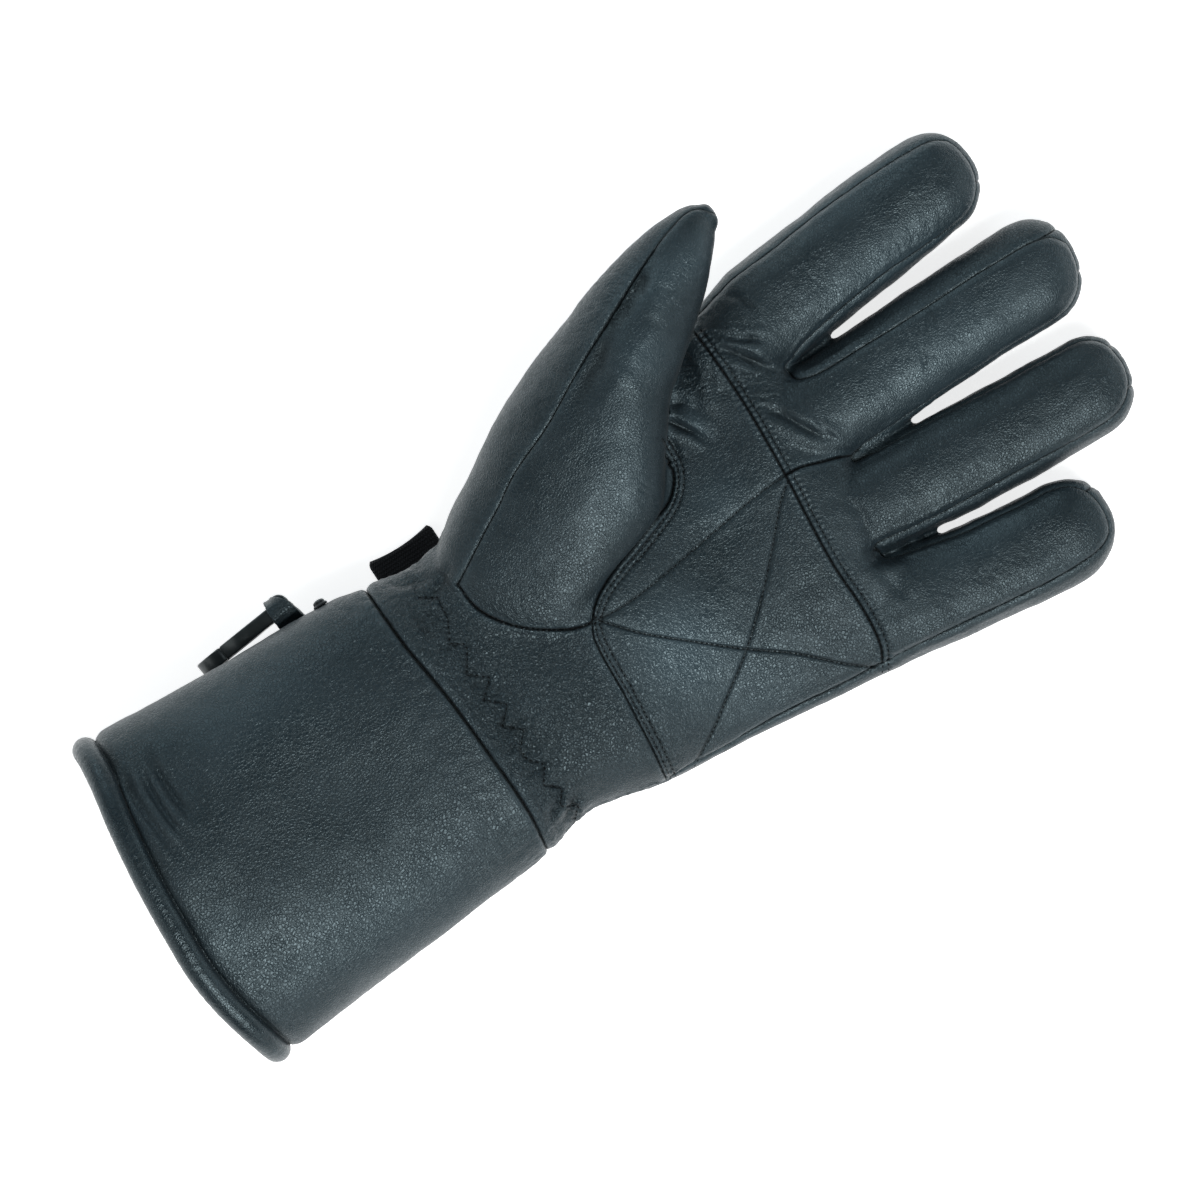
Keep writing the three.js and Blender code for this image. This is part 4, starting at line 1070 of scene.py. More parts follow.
panel_pieces = {}
for name in np.unique(panels).tolist():
    panel_pieces[name] = piece(name + "_leather", panel_mesh(name), [name])
    print(name, len(panel_pieces[name].data.polygons), "faces")

# %% [markdown]
# The cuff
#
# The cuff is a wide tube between two curved seams, the rolled rim's and the wrist's. A grid that
# runs from one seam to the other follows both, so no cutting is needed. The leather falls in a few
# broad, shallow dents, and in three creases beside the rim.

# %% Make the cuff
MOUTH_SEAM = [(-48, -150.2), (-38, -151.2), (-20, -154.7), (0, -157), (20, -157), (40, -154.9), (60, -150.4)]
HALF_GAP = 0.15  # half the width of the seam at either end
CUFF_MIDDLE = -100.0
WRIST_CREASES = (-60, 9, 0.25)  # the cuff's creases beside the wrist: where in Y, how far they reach, depth
CUFF_AROUND, CUFF_ALONG, CUFF_ALONG_INSIDE = 360, 118, 12
WRIST_LIP, MOUTH_LIP = (0.9, 2.0), (1.9, 3.4)  # depth and width of the roll at each end
# The top edge of the mouth lies back
MOUTH_LEAN = [(-50, 1.1), (-42, 2.3), (-25, 2.8), (0, 2.8), (15, 2.0), (30, 0.7), (62, 0.6)]
MOUTH_LEAN_FROM, MOUTH_LEAN_TO = 14.0, 50.0
# Creases of the cuff: their lines, then their depth, width, and the rise beside them
CUFF_FOLDS = [
    [(-37, -145), (-29.5, -147), (-18, -147), (-3, -145.4)],
    [(-36, -137), (-29.6, -137.6), (-20, -137.8), (-11, -136.4)],
    [(-33, -141), (-26, -142.4), (-15, -142.4), (-6, -141)],
]
CUFF_FOLD_SHAPE = (0.95, 1.3, 0.9)
MOUTH_DIP, MOUTH_DIP_REACH = 0.8, 2.8  # the leather sinks towards the rim


def seam_at(seam, x):
    table = np.array(seam, float)
    return curve_through(table[:, 0], table[:, 1], np.clip(x, table[0, 0], table[-1, 0]))


def mouth_at(x, z):
    height = np.clip((z - MOUTH_LEAN_FROM) / (MOUTH_LEAN_TO - MOUTH_LEAN_FROM), 0, 1)
    return seam_at(MOUTH_SEAM, x) + seam_at(MOUTH_LEAN, x) * height


def cuff_grid(along, inset):
    """Points of the cuff from the mouth to the wrist, pulled in by inset."""
    across, up = round_ring(np.linspace(0, 2 * np.pi, CUFF_AROUND, endpoint=False))
    share = np.linspace(0, 1, along)[:, None]
    y = np.full((along, CUFF_AROUND), CUFF_MIDDLE)
    for _ in range(5):
        left, right, low, high = (side.reshape(y.shape) for side in section(CUFF, y.ravel()))
        x = (left + right) / 2 + ((right - left) / 2 - inset) * across
        z = (low + high) / 2 + ((high - low) / 2 - inset) * up
        mouth, wrist = mouth_at(x, z) + HALF_GAP, seam_at(CUFF_SEAM, x) - HALF_GAP
        y = mouth + (wrist - mouth) * share
    points = np.stack([x, y, z], -1).reshape(-1, 3)
    return dented(points, CUFF, CUFF_DENTS), np.minimum(y - mouth, wrist - y).ravel()


def facing_out(points, faces):
    """Turns the faces round if they face inwards."""
    fans = np.array([(face[0], face[k], face[k + 1]) for face in faces for k in range(1, len(face) - 1)])
    a, b, c = (points[fans[:, k]] for k in range(3))
    return faces if (a * np.cross(b, c)).sum() > 0 else [face[::-1] for face in faces]


cuff_outer, cuff_edge_away = cuff_grid(CUFF_ALONG, 0)
grid = np.array(tube_faces(CUFF_ALONG, CUFF_AROUND))
cuff_normals = point_normals(cuff_outer, np.vstack([grid[:, [0, 1, 2]], grid[:, [0, 2, 3]]]))
middle = cuff_outer.mean(0)
if ((cuff_outer - middle) * cuff_normals).sum() < 0:
    cuff_normals = -cuff_normals
upward = np.clip(cuff_normals[:, 2] * STEEPNESS, 0, 1)
at_wrist = cuff_outer[:, 1] > CUFF_MIDDLE
rolls = [depth * roll(cuff_edge_away, width) for depth, width in (WRIST_LIP, MOUTH_LIP)]
cuff_push = -np.where(at_wrist, *rolls)
cuff_push -= np.where(at_wrist, 0, MOUTH_DIP * dip(cuff_edge_away, MOUTH_DIP_REACH))
cuff_push += 0.45 * soft_noise(cuff_outer / 17, 31) + 0.12 * soft_noise(cuff_outer / 5, 32)
fold_depth, fold_width, rise = CUFF_FOLD_SHAPE
for line in CUFF_FOLDS:
    away, _, along = line_reach(cuff_outer, smooth_line(line))
    taper = np.clip(np.minimum(along, 1 - along) * 4, 0, 1)
    roll_beside = rise * dip(away - 2 * fold_width, 1.5 * fold_width)
    cuff_push += upward * taper * (roll_beside - fold_depth * dip(away, fold_width))
crease_line, crease_reach, crease_depth = WRIST_CREASES
near_wrist = np.exp(-((cuff_outer[:, 1] - crease_line) / crease_reach) ** 2)
cuff_push -= crease_depth * near_wrist * creases(cuff_outer, 5, 12, math.radians(84), 33)
cuff_outer = cuff_outer + cuff_normals * cuff_push[:, None]
cuff_outer[:, 2] = np.maximum(cuff_outer[:, 2], OVER_THE_TABLE)
cuff_inner = cuff_grid(CUFF_ALONG_INSIDE, WALL)[0].reshape(CUFF_ALONG_INSIDE, CUFF_AROUND, 3)[::-1]
cuff_inner[..., 2] = np.maximum(cuff_inner[..., 2], WALL / 2)
cuff_points = np.vstack([cuff_outer, cuff_inner.reshape(-1, 3)])
cuff_faces = facing_out(cuff_points, tube_faces(CUFF_ALONG + CUFF_ALONG_INSIDE, CUFF_AROUND, endless=True))
cuff_mesh = mesh_of("cuff_leather", placed(cuff_points), cuff_faces)
# Painted highlight spots on the cuff, where it is also smoother
cuff_sheen_spots = spots(CUFF_SHEEN_SPOTS, cuff_outer, upward)
add_numbers(cuff_mesh, {"seam_away": cuff_edge_away, "sunk": -cuff_push, "wear_and_sheen": cuff_sheen_spots})
cuff_piece = piece("cuff_leather", cuff_mesh, ["cuff"])
print("cuff:", len(cuff_mesh.polygons), "faces")

# %% [markdown]
# The rolled rim
#
# The mouth of the cuff is bound with a rolled strip of thinner leather. Where a strip is bent round
# a curve it throws small wrinkles across itself, so the tube's radius gets a fine ripple.

# %% Make the rolled rim
PIPING_RADIUS, PIPING_PROUD, PIPING_LAP = 4.2, 1.3, 0.6
PIPING_STEPS, PIPING_SIDES = 760, 22


def swept(path, outward_hint, offsets):
    """Rings round a path. offsets gives, for each ring, points in (outward, sideways)."""
    along = np.roll(path, -1, axis=0) - np.roll(path, 1, axis=0)
    along /= np.linalg.norm(along, axis=1, keepdims=True)
    side = outward_hint - (outward_hint * along).sum(1, keepdims=True) * along
    side /= np.linalg.norm(side, axis=1, keepdims=True)
    outward = np.cross(along, side)
    return path[:, None] + outward[:, None] * offsets[..., :1] + side[:, None] * offsets[..., 1:]


def mouth_path(steps, inset, forward):
    across, up = round_ring(np.linspace(0, 2 * np.pi, steps, endpoint=False))
    left, right, low, high = (float(side[0]) for side in section(CUFF, np.array([MOUTH_SEAM[0][1]])))
    x = (left + right) / 2 + ((right - left) / 2 - inset) * across
    z = (low + high) / 2 + ((high - low) / 2 - inset) * up
    path = np.stack([x, mouth_at(x, z) + forward, np.maximum(z, PIPING_RADIUS)], -1)
    closed = np.vstack([path, path[:1]])
    walked = np.concatenate([[0], np.cumsum(np.linalg.norm(np.diff(closed, axis=0), axis=1))])
    even = np.linspace(0, walked[-1], steps, endpoint=False)
    return np.stack([np.interp(even, walked, closed[:, k]) for k in range(3)], -1)


path = mouth_path(PIPING_STEPS, PIPING_RADIUS - PIPING_PROUD, PIPING_LAP - PIPING_RADIUS)
angle = np.linspace(0, 2 * np.pi, PIPING_SIDES, endpoint=False)
spokes = np.stack([np.cos(angle), np.sin(angle)], -1)
towards_wrist = np.array([0.0, 1.0, 0.0])
even_tube = np.broadcast_to(PIPING_RADIUS * spokes, (PIPING_STEPS, PIPING_SIDES, 2))
flat_rings = swept(path, towards_wrist, even_tube).reshape(-1, 3)
ripple = soft_noise(flat_rings * (0.62, 0.16, 0.62), 41) + 0.6 * soft_noise(flat_rings * (1.3, 0.3, 1.3), 42)
radius = PIPING_RADIUS - 0.12 + 0.08 * ripple.reshape(PIPING_STEPS, PIPING_SIDES)
rings = swept(path, towards_wrist, radius[..., None] * spokes)
rim_faces = facing_out(rings.reshape(-1, 3), tube_faces(PIPING_STEPS, PIPING_SIDES, endless=True))
rim_mesh = mesh_of("rolled_rim", placed(rings.reshape(-1, 3)), rim_faces)
add_numbers(rim_mesh, {"seam_away": [], "sunk": (PIPING_RADIUS - radius).ravel()})
rim_piece = piece("rolled_rim", rim_mesh, ["cuff_piping"])

# %% [markdown]
# The strap, the clip, its loop and the stud
#
# A webbing strap lies under the wrist and shows only its end. On the thumb side of the cuff a small
# moulded clip hangs in a leather loop, and a lacquered stud sits above it. The clip is a flat
# outline with a rounded edge, so a filled curve with a bevel makes it in one go.

# %% Make the strap
STRAP_LINE = [(-47.5, 1.6), (-40, 1.35), (-24, 1.3), (28, 1.3), (38, 3.2), (44, 6), (48.5, 9.4)]  # x, z
STRAP_START, STRAP_END, STRAP_HALF = -53.0, -30.6, 0.95
STRAP_STEPS, STRAP_ACROSS = 120, 40
BORDER_INSET = 1.4  # the sewn border lies this far inside the strap's edge


def strap_mesh():
    x = np.linspace(STRAP_LINE[0][0], STRAP_LINE[-1][0], STRAP_STEPS)
    table = np.array(STRAP_LINE, float)
    z = curve_through(table[:, 0], table[:, 1], x)
    v = np.linspace(-1, 1, STRAP_ACROSS)
    middle, half = (STRAP_START + STRAP_END) / 2, (STRAP_END - STRAP_START) / 2
    rings = []
    for k in range(STRAP_STEPS):
        end = min(k, STRAP_STEPS - 1 - k) * (x[1] - x[0])
        rounding = 1 - 0.09 * max(0, 1 - end / 2) ** 2
        bow = 1.1 * max(0, 1 - end / 9) * (1 - v**2) if k < STRAP_STEPS / 2 else 0 * v
        thick = STRAP_HALF * np.sqrt(np.clip(1 - np.abs(v) ** 14, 0.1, 1)) * (0.6 if end == 0 else 1)
        y = middle + half * v * rounding
        border = 0.12 * np.exp(-((half * (1 - np.abs(v)) - BORDER_INSET) / 0.5) ** 2)
        top = np.stack([x[k] + bow, y, z[k] + thick - border], -1)
        bottom = np.stack([x[k] + bow, y, z[k] - thick], -1)
        rings.append(np.vstack([top, bottom[::-1]]))
    points, faces = loft(np.array(rings), closed_ends=False)
    count = 2 * STRAP_ACROSS
    for start, turned in ((0, False), ((STRAP_STEPS - 1) * count, True)):
        for k in range(STRAP_ACROSS - 1):
            face = (start + k, start + k + 1, start + count - 2 - k, start + count - 1 - k)
            faces.append(face[::-1] if turned else face)
    return mesh_of("webbing_strap", placed(points), facing_out(points, faces))


strap_piece = piece("webbing_strap", strap_mesh(), ["wrist_strap"])

# %% Make the clip
CLIP_EYE_END = np.array([-50.4, -80.5, 12.0])
CLIP_TURN = math.atan2(-26, 2.7)
CLIP_THICKNESS, CLIP_BEVEL, CLIP_HALF, CLIP_NOSE = 4.6, 0.5, 7.0, 24.8
EYE_HALF, EYE_LENGTH, EYE_CORNER, HOOK_START = 5.6, 9.4, 2.4, 12.4
HOLE_HALF, HOLE_START, HOLE_END, HOLE_CORNER = 4.4, 10.6, 29.2, 3.6
EYE_HOLE_START, EYE_HOLE_END, EYE_HOLE_HALF, EYE_HOLE_CORNER = 2.6, 6.8, 3.6, 1.2
SLIT_LEFT, SLIT_RIGHT = 22.9, 23.1  # the gate ends here


def arc(u, v, radius, start, end, steps=12):
    """Points on an arc about (u, v), angles in degrees."""
    angle = np.radians(np.linspace(start, end, steps))
    return np.stack([u + radius * np.cos(angle), v + radius * np.sin(angle)], -1)


def rounded_slot(start, end, half, corner):
    right, left, top = end - corner, start + corner, half - corner
    middles = [(right, top), (left, top), (left, -top), (right, -top)]
    return np.vstack([arc(u, v, corner, 90 * k, 90 * k + 90) for k, (u, v) in enumerate(middles)])


def filled_outline(name, outlines, thickness, bevel):
    """A flat plate with these outlines and round edges, as a mesh about the plane z = 0."""
    curve = bpy.data.curves.new(name, "CURVE")
    curve.dimensions, curve.fill_mode = "2D", "BOTH"
    curve.extrude, curve.bevel_depth, curve.bevel_resolution = thickness / 2 - bevel, bevel, 3
    curve.offset = -bevel
    for outline in outlines:
        spline = curve.splines.new("POLY")
        spline.points.add(len(outline) - 1)
        flat, weight = np.zeros(len(outline)), np.ones(len(outline))
        spline.points.foreach_set("co", np.column_stack([outline, flat, weight]).ravel())
        spline.use_cyclic_u = True
    plate = bpy.data.objects.new(name, curve)
    bpy.context.scene.collection.objects.link(plate)
    mesh = bpy.data.meshes.new_from_object(plate.evaluated_get(bpy.context.evaluated_depsgraph_get()))
    bpy.data.objects.remove(plate)
    return mesh


half, left, right = HOLE_HALF - HOLE_CORNER, HOLE_START + HOLE_CORNER, HOLE_END - HOLE_CORNER
clip_outline = np.vstack([
    [(EYE_CORNER, -EYE_HALF), (EYE_LENGTH, -EYE_HALF), (HOOK_START, -CLIP_HALF)],
    arc(CLIP_NOSE, 0, CLIP_HALF, -90, 90, 24), [(SLIT_RIGHT, CLIP_HALF), (SLIT_RIGHT, HOLE_HALF)],
    arc(right, half, HOLE_CORNER, 90, 0), arc(right, -half, HOLE_CORNER, 0, -90),
    arc(left, -half, HOLE_CORNER, 270, 180), arc(left, half, HOLE_CORNER, 180, 90),
    [(SLIT_LEFT, HOLE_HALF), (SLIT_LEFT, CLIP_HALF), (HOOK_START, CLIP_HALF), (EYE_LENGTH, EYE_HALF)],
    arc(EYE_CORNER, EYE_HALF - EYE_CORNER, EYE_CORNER, 90, 180),
    arc(EYE_CORNER, EYE_CORNER - EYE_HALF, EYE_CORNER, 180, 270),
])
eye_hole = rounded_slot(EYE_HOLE_START, EYE_HOLE_END, EYE_HOLE_HALF, EYE_HOLE_CORNER)
clip_mesh = filled_outline("moulded_clip", [clip_outline, eye_hole], CLIP_THICKNESS, CLIP_BEVEL)
along, upright = Vector((math.cos(CLIP_TURN), math.sin(CLIP_TURN), 0)), Vector((0, 0, 1))
standing = Matrix((along, upright, along.cross(upright))).transposed().to_4x4()
clip_mesh.transform(Matrix.Scale(MM, 4) @ Matrix.Translation(Vector(CLIP_EYE_END + SHIFT)) @ standing)
clip_piece = piece("moulded_clip", clip_mesh, ["clip"])
print("clip:", len(clip_mesh.polygons), "faces")

# %% Make the clip's loop
# The strip through the clip's eye, in plan: along the clip, and towards the cuff
LOOP_PATH = [(-3.2, 14), (-2.7, 9), (-2.0, 4), (-1.3, 0), (-0.9, -2.1), (0.2, -3.2), (1.9, -3.25),
             (3.3, -2.4), (3.7, -0.6), (4.2, 3), (4.5, 8), (4.6, 14)]
LOOP_HALF_WIDTH, LOOP_HALF_THICK = 2.8, 0.8
LOOP_STEPS, LOOP_SIDES = 130, 28
# The flap folded over the clip's end: its way towards the cuff and in height, then its two long edges
FLAP = [(8.6, 12, -4.6, 5.6), (6.7, 16, -3.2, 5.4), (4.6, 18.9, -2.7, 5.3), (2.4, 20, -2.4, 5.3),
        (0, 20.1, -2, 5), (-1.8, 19.4, -0.8, 4.8), (-3, 17.6, 0.6, 4.5), (-3.5, 14.6, 1.4, 4.3),
        (-3.3, 11, 1.6, 4)]
FLAP_HALF_THICK, FLAP_STEPS, FLAP_ACROSS = 0.6, 70, 26


def cuff_side(y, z):
    """X of the cuff's outer face on the thumb side."""
    left, right, low, high = section(CUFF, y)
    up = np.clip(np.abs(z - (low + high) / 2) / ((high - low) / 2), 0, 1)
    return (left + right) / 2 - (right - left) / 2 * (1 - up**ROUNDNESS) ** (1 / ROUNDNESS)


def beside_clip(u, n, z):
    """Points given along the clip, towards the cuff, and in height."""
    cos, sin = math.cos(CLIP_TURN), math.sin(CLIP_TURN)
    x, y = CLIP_EYE_END[0] + cos * u - sin * n, CLIP_EYE_END[1] + sin * u + cos * n
    return np.stack(np.broadcast_arrays(x, y, z), -1)


def strip_of(rings, seed):
    """A wrinkled strip of leather that ends in the wall of the cuff."""
    shape = rings.shape[:2]
    points = rings.reshape(-1, 3)
    middle = np.repeat(rings.mean(1), shape[1], axis=0)
    points = points + 0.22 * soft_noise(middle / 1.2 + points / 4, seed)[:, None]
    wall = cuff_side(points[:, 1], points[:, 2]) + 0.4
    points[:, 0] = np.minimum(points[:, 0], wall)
    return loft(points.reshape(*shape, 3))


def flat_section(sides):
    """The section of a flat strip with round edges: width, thickness."""
    angle = np.linspace(0, 2 * np.pi, sides, endpoint=False)
    cos, sin = np.cos(angle), np.sin(angle)
    return np.sign(cos) * np.abs(cos) ** 0.6, np.sign(sin) * np.abs(sin) ** 0.6


def even_points(table, steps):
    line = smooth_line(table, 0.2)
    at = np.linspace(0, len(line) - 1, steps)
    return np.stack([np.interp(at, np.arange(len(line)), line[:, k]) for k in range(line.shape[1])], -1)


def through_the_eye():
    u, n = even_points(LOOP_PATH, LOOP_STEPS).T
    path = beside_clip(u, n, CLIP_EYE_END[2])
    along = np.gradient(path, axis=0)
    along /= np.linalg.norm(along, axis=1, keepdims=True)
    out = np.cross(along, (0.0, 0.0, 1.0))[:, None]
    wide, thick = (side[:, None] for side in flat_section(LOOP_SIDES))
    rings = path[:, None] + LOOP_HALF_THICK * thick * out + LOOP_HALF_WIDTH * wide * np.array([0.0, 0.0, 1.0])
    return strip_of(rings, 51)


def over_the_clip():
    table = np.array(FLAP, float)
    walked = np.concatenate([[0], np.cumsum(np.hypot(*np.diff(table[:, :2], axis=0).T))])
    at = np.linspace(0, walked[-1], FLAP_STEPS)
    n, z, low, high = (curve_through(walked, table[:, k], at)[:, None] for k in range(4))
    run_n, run_z = np.gradient(n[:, 0])[:, None], np.gradient(z[:, 0])[:, None]
    length = np.hypot(run_n, run_z)
    wide, thick = flat_section(FLAP_ACROSS)
    u = (low + high) / 2 + (high - low) / 2 * wide
    sag = 0.5 * wide**2
    thick = FLAP_HALF_THICK * thick - sag
    return strip_of(beside_clip(u, n - thick * run_z / length, z + thick * run_n / length), 52)


def together(*forms):
    """Several closed forms as one, each facing out."""
    points, faces = [], []
    for form_points, form_faces in forms:
        base = sum(len(part) for part in points)
        points.append(form_points)
        faces += [tuple(corner + base for corner in face) for face in facing_out(form_points, form_faces)]
    return np.vstack(points), faces


loop_points, loop_faces = together(through_the_eye(), over_the_clip())
loop_mesh = mesh_of("leather_loop", placed(loop_points), loop_faces)
add_numbers(loop_mesh, {"seam_away": [], "sunk": []})
loop_piece = piece("leather_loop", loop_mesh, ["clip_loop"])

# %% Make the stud
STUD_Y, STUD_Z = -71.0, 24.0
# Radius and height of each ring of the stud
STUD_PROFILE = [(2.3, -0.5), (2.3, 0.1), (2.15, 0.3), (1.9, 0.36), (1.9, 0.8), (1.75, 1.2), (1.35, 1.55),
                (0.7, 1.76), (0.06, 1.8)]
STUD_SIDES = 40


def stud_mesh():
    base = float(section(CUFF, np.array([STUD_Y]))[0][0]) - 0.2
    angle = np.linspace(0, 2 * np.pi, STUD_SIDES, endpoint=False)
    radius, height = np.array(STUD_PROFILE).T[:, :, None]
    y, z = STUD_Y + radius * np.cos(angle), STUD_Z + radius * np.sin(angle)
    points, faces = loft(np.stack([np.broadcast_to(base - height, y.shape), y, z], -1))
    return mesh_of("stud_head", placed(points), facing_out(points, faces))


stud_piece = piece("stud_head", stud_mesh(), ["cuff_stud"])

# %% [markdown]
# The finishes
#
# Leather is not one colour. It has pebbles in its grain, pores, a satin finish that is rubbed pale
# and smoother on the rolls and at the seams, and slow changes of tone over each cut. Its colour also
# has painted shade in the folds, the seam valleys and the stitch rows, and painted highlights on a
# few spots, where it is smoother too. All of that is worked out at each place from the piece's own
# coordinates and from the numbers that its points carry, so that nothing slides or repeats.


# %% How materials are built
def add_node(tree, kind, inputs=(), **settings):
    """A shader node. Inputs are numbers, colours, or the outputs of other nodes."""
    made = tree.nodes.new(kind)
    for setting, value in settings.items():
        setattr(made, setting, value)
    for socket, value in dict(inputs).items():
        if isinstance(value, bpy.types.NodeSocket):
            tree.links.new(value, made.inputs[socket])
        else:
            made.inputs[socket].default_value = value
    return made


def vector(tree, operation, a, b):
    return add_node(tree, "ShaderNodeVectorMath", {0: a, 1: b}, operation=operation).outputs[0]


def new_material(name):
    """A material, its node tree, its shader, and the piece's coordinates in millimetres."""
    material = bpy.data.materials.new(name)
    material.use_nodes = True
    tree = material.node_tree
    place = add_node(tree, "ShaderNodeTexCoord").outputs["Object"]
    in_mm = vector(tree, "MULTIPLY", place, (1 / MM,) * 3)
    return material, tree, tree.nodes["Principled BSDF"], in_mm


def noise(tree, place, scale, detail=2.0, rough=0.5, stretch=None):
    if stretch:
        turn, scales = stretch
        turned = {"Vector": place, "Rotation": turn, "Scale": scales}
        place = add_node(tree, "ShaderNodeMapping", turned).outputs[0]
    inputs = {"Vector": place, "Scale": scale, "Detail": detail, "Roughness": rough}
    return add_node(tree, "ShaderNodeTexNoise", inputs).outputs[0]


def cells(tree, place, scale):
    """Distance from the border between two of many cells."""
    inputs = {"Vector": place, "Scale": scale}
    return add_node(tree, "ShaderNodeTexVoronoi", inputs, feature="DISTANCE_TO_EDGE").outputs["Distance"]


def scaled(tree, value, low, high, to_low, to_high):
    inputs = {0: value, 1: low, 2: high, 3: to_low, 4: to_high}
    return add_node(tree, "ShaderNodeMapRange", inputs).outputs[0]


def maths(tree, operation, a, b):
    return add_node(tree, "ShaderNodeMath", {0: a, 1: b}, operation=operation).outputs[0]


def times(tree, a, b):
    return maths(tree, "MULTIPLY", a, b)


def plus(tree, a, b):
    return maths(tree, "ADD", a, b)


def mixed(tree, share, a, b):
    """Blends two colours."""
    return add_node(tree, "ShaderNodeMix", {0: share, 6: a, 7: b}, data_type="RGBA").outputs[2]


def number(tree, name):
    return add_node(tree, "ShaderNodeAttribute", attribute_name=name).outputs["Fac"]


def bump(tree, height, distance, onto=None):
    """Presses a pattern into the surface, distance in millimetres."""
    inputs = {"Height": height, "Distance": distance * MM, "Strength": 1.0}
    if onto is not None:
        inputs["Normal"] = onto
    return add_node(tree, "ShaderNodeBump", inputs).outputs[0]


def set_up(shader, **values):
    """Gives a shader's inputs plain values. An underscore in a name stands for a space."""
    for name, value in values.items():
        shader.inputs[name.replace("_", " ")].default_value = value


def shade(colour, share):
    """A darker shade of a colour."""
    return [share * c for c in colour[:3]] + [1]


# %% Leather
def leather(name, dark, light, wear_and_sheen_colour, pebble, grain_depth, rough, seed):
    """Dyed grain leather. pebble is the size of its grain in millimetres, grain_depth its relief."""
    material, tree, shader, place = new_material(name)
    place = vector(tree, "ADD", place, (seed * 17.0, seed * 5.0, 0))
    drift = add_node(tree, "ShaderNodeCombineXYZ")
    wander = noise(tree, place, 0.8 / pebble, 0.0)
    for axis, reach in enumerate((1.0, -0.8, 0.9)):
        tree.links.new(times(tree, wander, reach * pebble), drift.inputs[axis])
    bent = vector(tree, "ADD", place, drift.outputs[0])
    pores = noise(tree, place, 2.0 / pebble, 1.0)
    valleys = scaled(tree, cells(tree, bent, 1 / pebble), 0.0, 0.26, 1.0, 0.0)
    valleys = times(tree, valleys, scaled(tree, pores, 0.3, 0.6, 0.4, 1.0))
    tone = noise(tree, place, 0.05, 2.0)
    cloud, crumple = noise(tree, place, 0.3, 1.0), noise(tree, place, 0.5, 1.0)
    tight, stitched = number(tree, "tight"), number(tree, "stitched")
    strong = scaled(tree, noise(tree, place, 0.11, 1.0), 0.35, 0.65, 0.7, 1.1)
    strong = plus(tree, strong, times(tree, tight, 0.9))
    edge = scaled(tree, number(tree, "seam_away"), 0.8, 2.6, 0.6, 0.0)
    sunk = number(tree, "sunk")
    # Paler where a roll stands out, from wear; painted shade where the leather lies sunk in a fold
    rolled, fold_shade = scaled(tree, sunk, -1.6, -0.4, 0.35, 0.0), scaled(tree, sunk, 0.25, 1.3, 0.0, 0.85)
    # Wear at the seams and on the rolls, plus painted highlights on the sheen spots from the points' numbers
    wear_and_sheen = times(tree, maths(tree, "MAXIMUM", edge, rolled), cloud)
    wear_and_sheen = plus(tree, wear_and_sheen, times(tree, number(tree, "wear_and_sheen"), 0.75))
    colour = mixed(tree, scaled(tree, tone, 0.3, 0.7, 0.0, 1.0), dark, light)
    colour = mixed(tree, times(tree, valleys, 0.9), colour, shade(dark, 0.3))
    # Paler where worn, and painted highlights on the sheen spots
    colour = mixed(tree, wear_and_sheen, colour, wear_and_sheen_colour)
    # Painted shade in the folds
    colour = mixed(tree, fold_shade, colour, shade(dark, 0.25))
    # Painted shade along the stitch rows and in the seam valleys
    stitch_shade = scaled(tree, stitched, 0.76, 0.92, 0.0, 0.85)
    seam_shade = scaled(tree, number(tree, "seam_away"), 0.15, 0.65, 0.9, 0.0)
    for line in (stitch_shade, seam_shade):
        colour = mixed(tree, line, colour, shade(dark, 0.15))
    tree.links.new(colour, shader.inputs["Base Color"])
    finish = plus(tree, scaled(tree, tone, 0.3, 0.7, rough - 0.05, rough + 0.05),
                  scaled(tree, valleys, 0.0, 1.0, -0.04, 0.2))
    finish = maths(tree, "SUBTRACT", finish, times(tree, wear_and_sheen, 0.12))
    tree.links.new(finish, shader.inputs["Roughness"])
    set_up(shader, Specular_IOR_Level=0.6, Specular_Tint=(0.74, 0.94, 1, 1))
    set_up(shader, Sheen_Weight=0.03, Sheen_Roughness=0.4)
    relief = times(tree, times(tree, valleys, strong), -grain_depth)
    relief = plus(tree, relief, times(tree, pores, 0.5 * grain_depth))
    relief = plus(tree, relief, times(tree, cloud, 0.05))
    relief = plus(tree, relief, times(tree, times(tree, crumple, tight), 0.8))
    relief = maths(tree, "SUBTRACT", relief, scaled(tree, stitched, 0.72, 0.92, 0.0, 0.15))
    tree.links.new(bump(tree, relief, 1.0), shader.inputs["Normal"])
    return material


# The pale colour is both worn leather and painted highlight
DARK, LIGHT, WEAR_AND_SHEEN_COLOUR = (0.006, 0.0122, 0.0165, 1), (0.0105, 0.019, 0.0255, 1), (0.032, 0.051, 0.062, 1)
plain_leather = leather("black_leather", DARK, LIGHT, WEAR_AND_SHEEN_COLOUR, 0.95, 0.11, 0.4, 1)
smooth_leather = leather("black_leather_fine", DARK, LIGHT, WEAR_AND_SHEEN_COLOUR, 0.85, 0.085, 0.38, 2)
cuff_leather = leather("black_leather_cuff", DARK, LIGHT, WEAR_AND_SHEEN_COLOUR, 1.0, 0.115, 0.4, 3)
rim_leather = leather("rim_leather", DARK, LIGHT, WEAR_AND_SHEEN_COLOUR, 0.85, 0.06, 0.3, 4)
SMOOTH_PANELS = ["thumb_front", "index_middle_front", "ring_little_front"]
for name, made in panel_pieces.items():
    made.data.materials.append(smooth_leather if name in SMOOTH_PANELS else plain_leather)
cuff_piece.data.materials.append(cuff_leather)
rim_piece.data.materials.append(rim_leather)
loop_piece.data.materials.append(plain_leather)


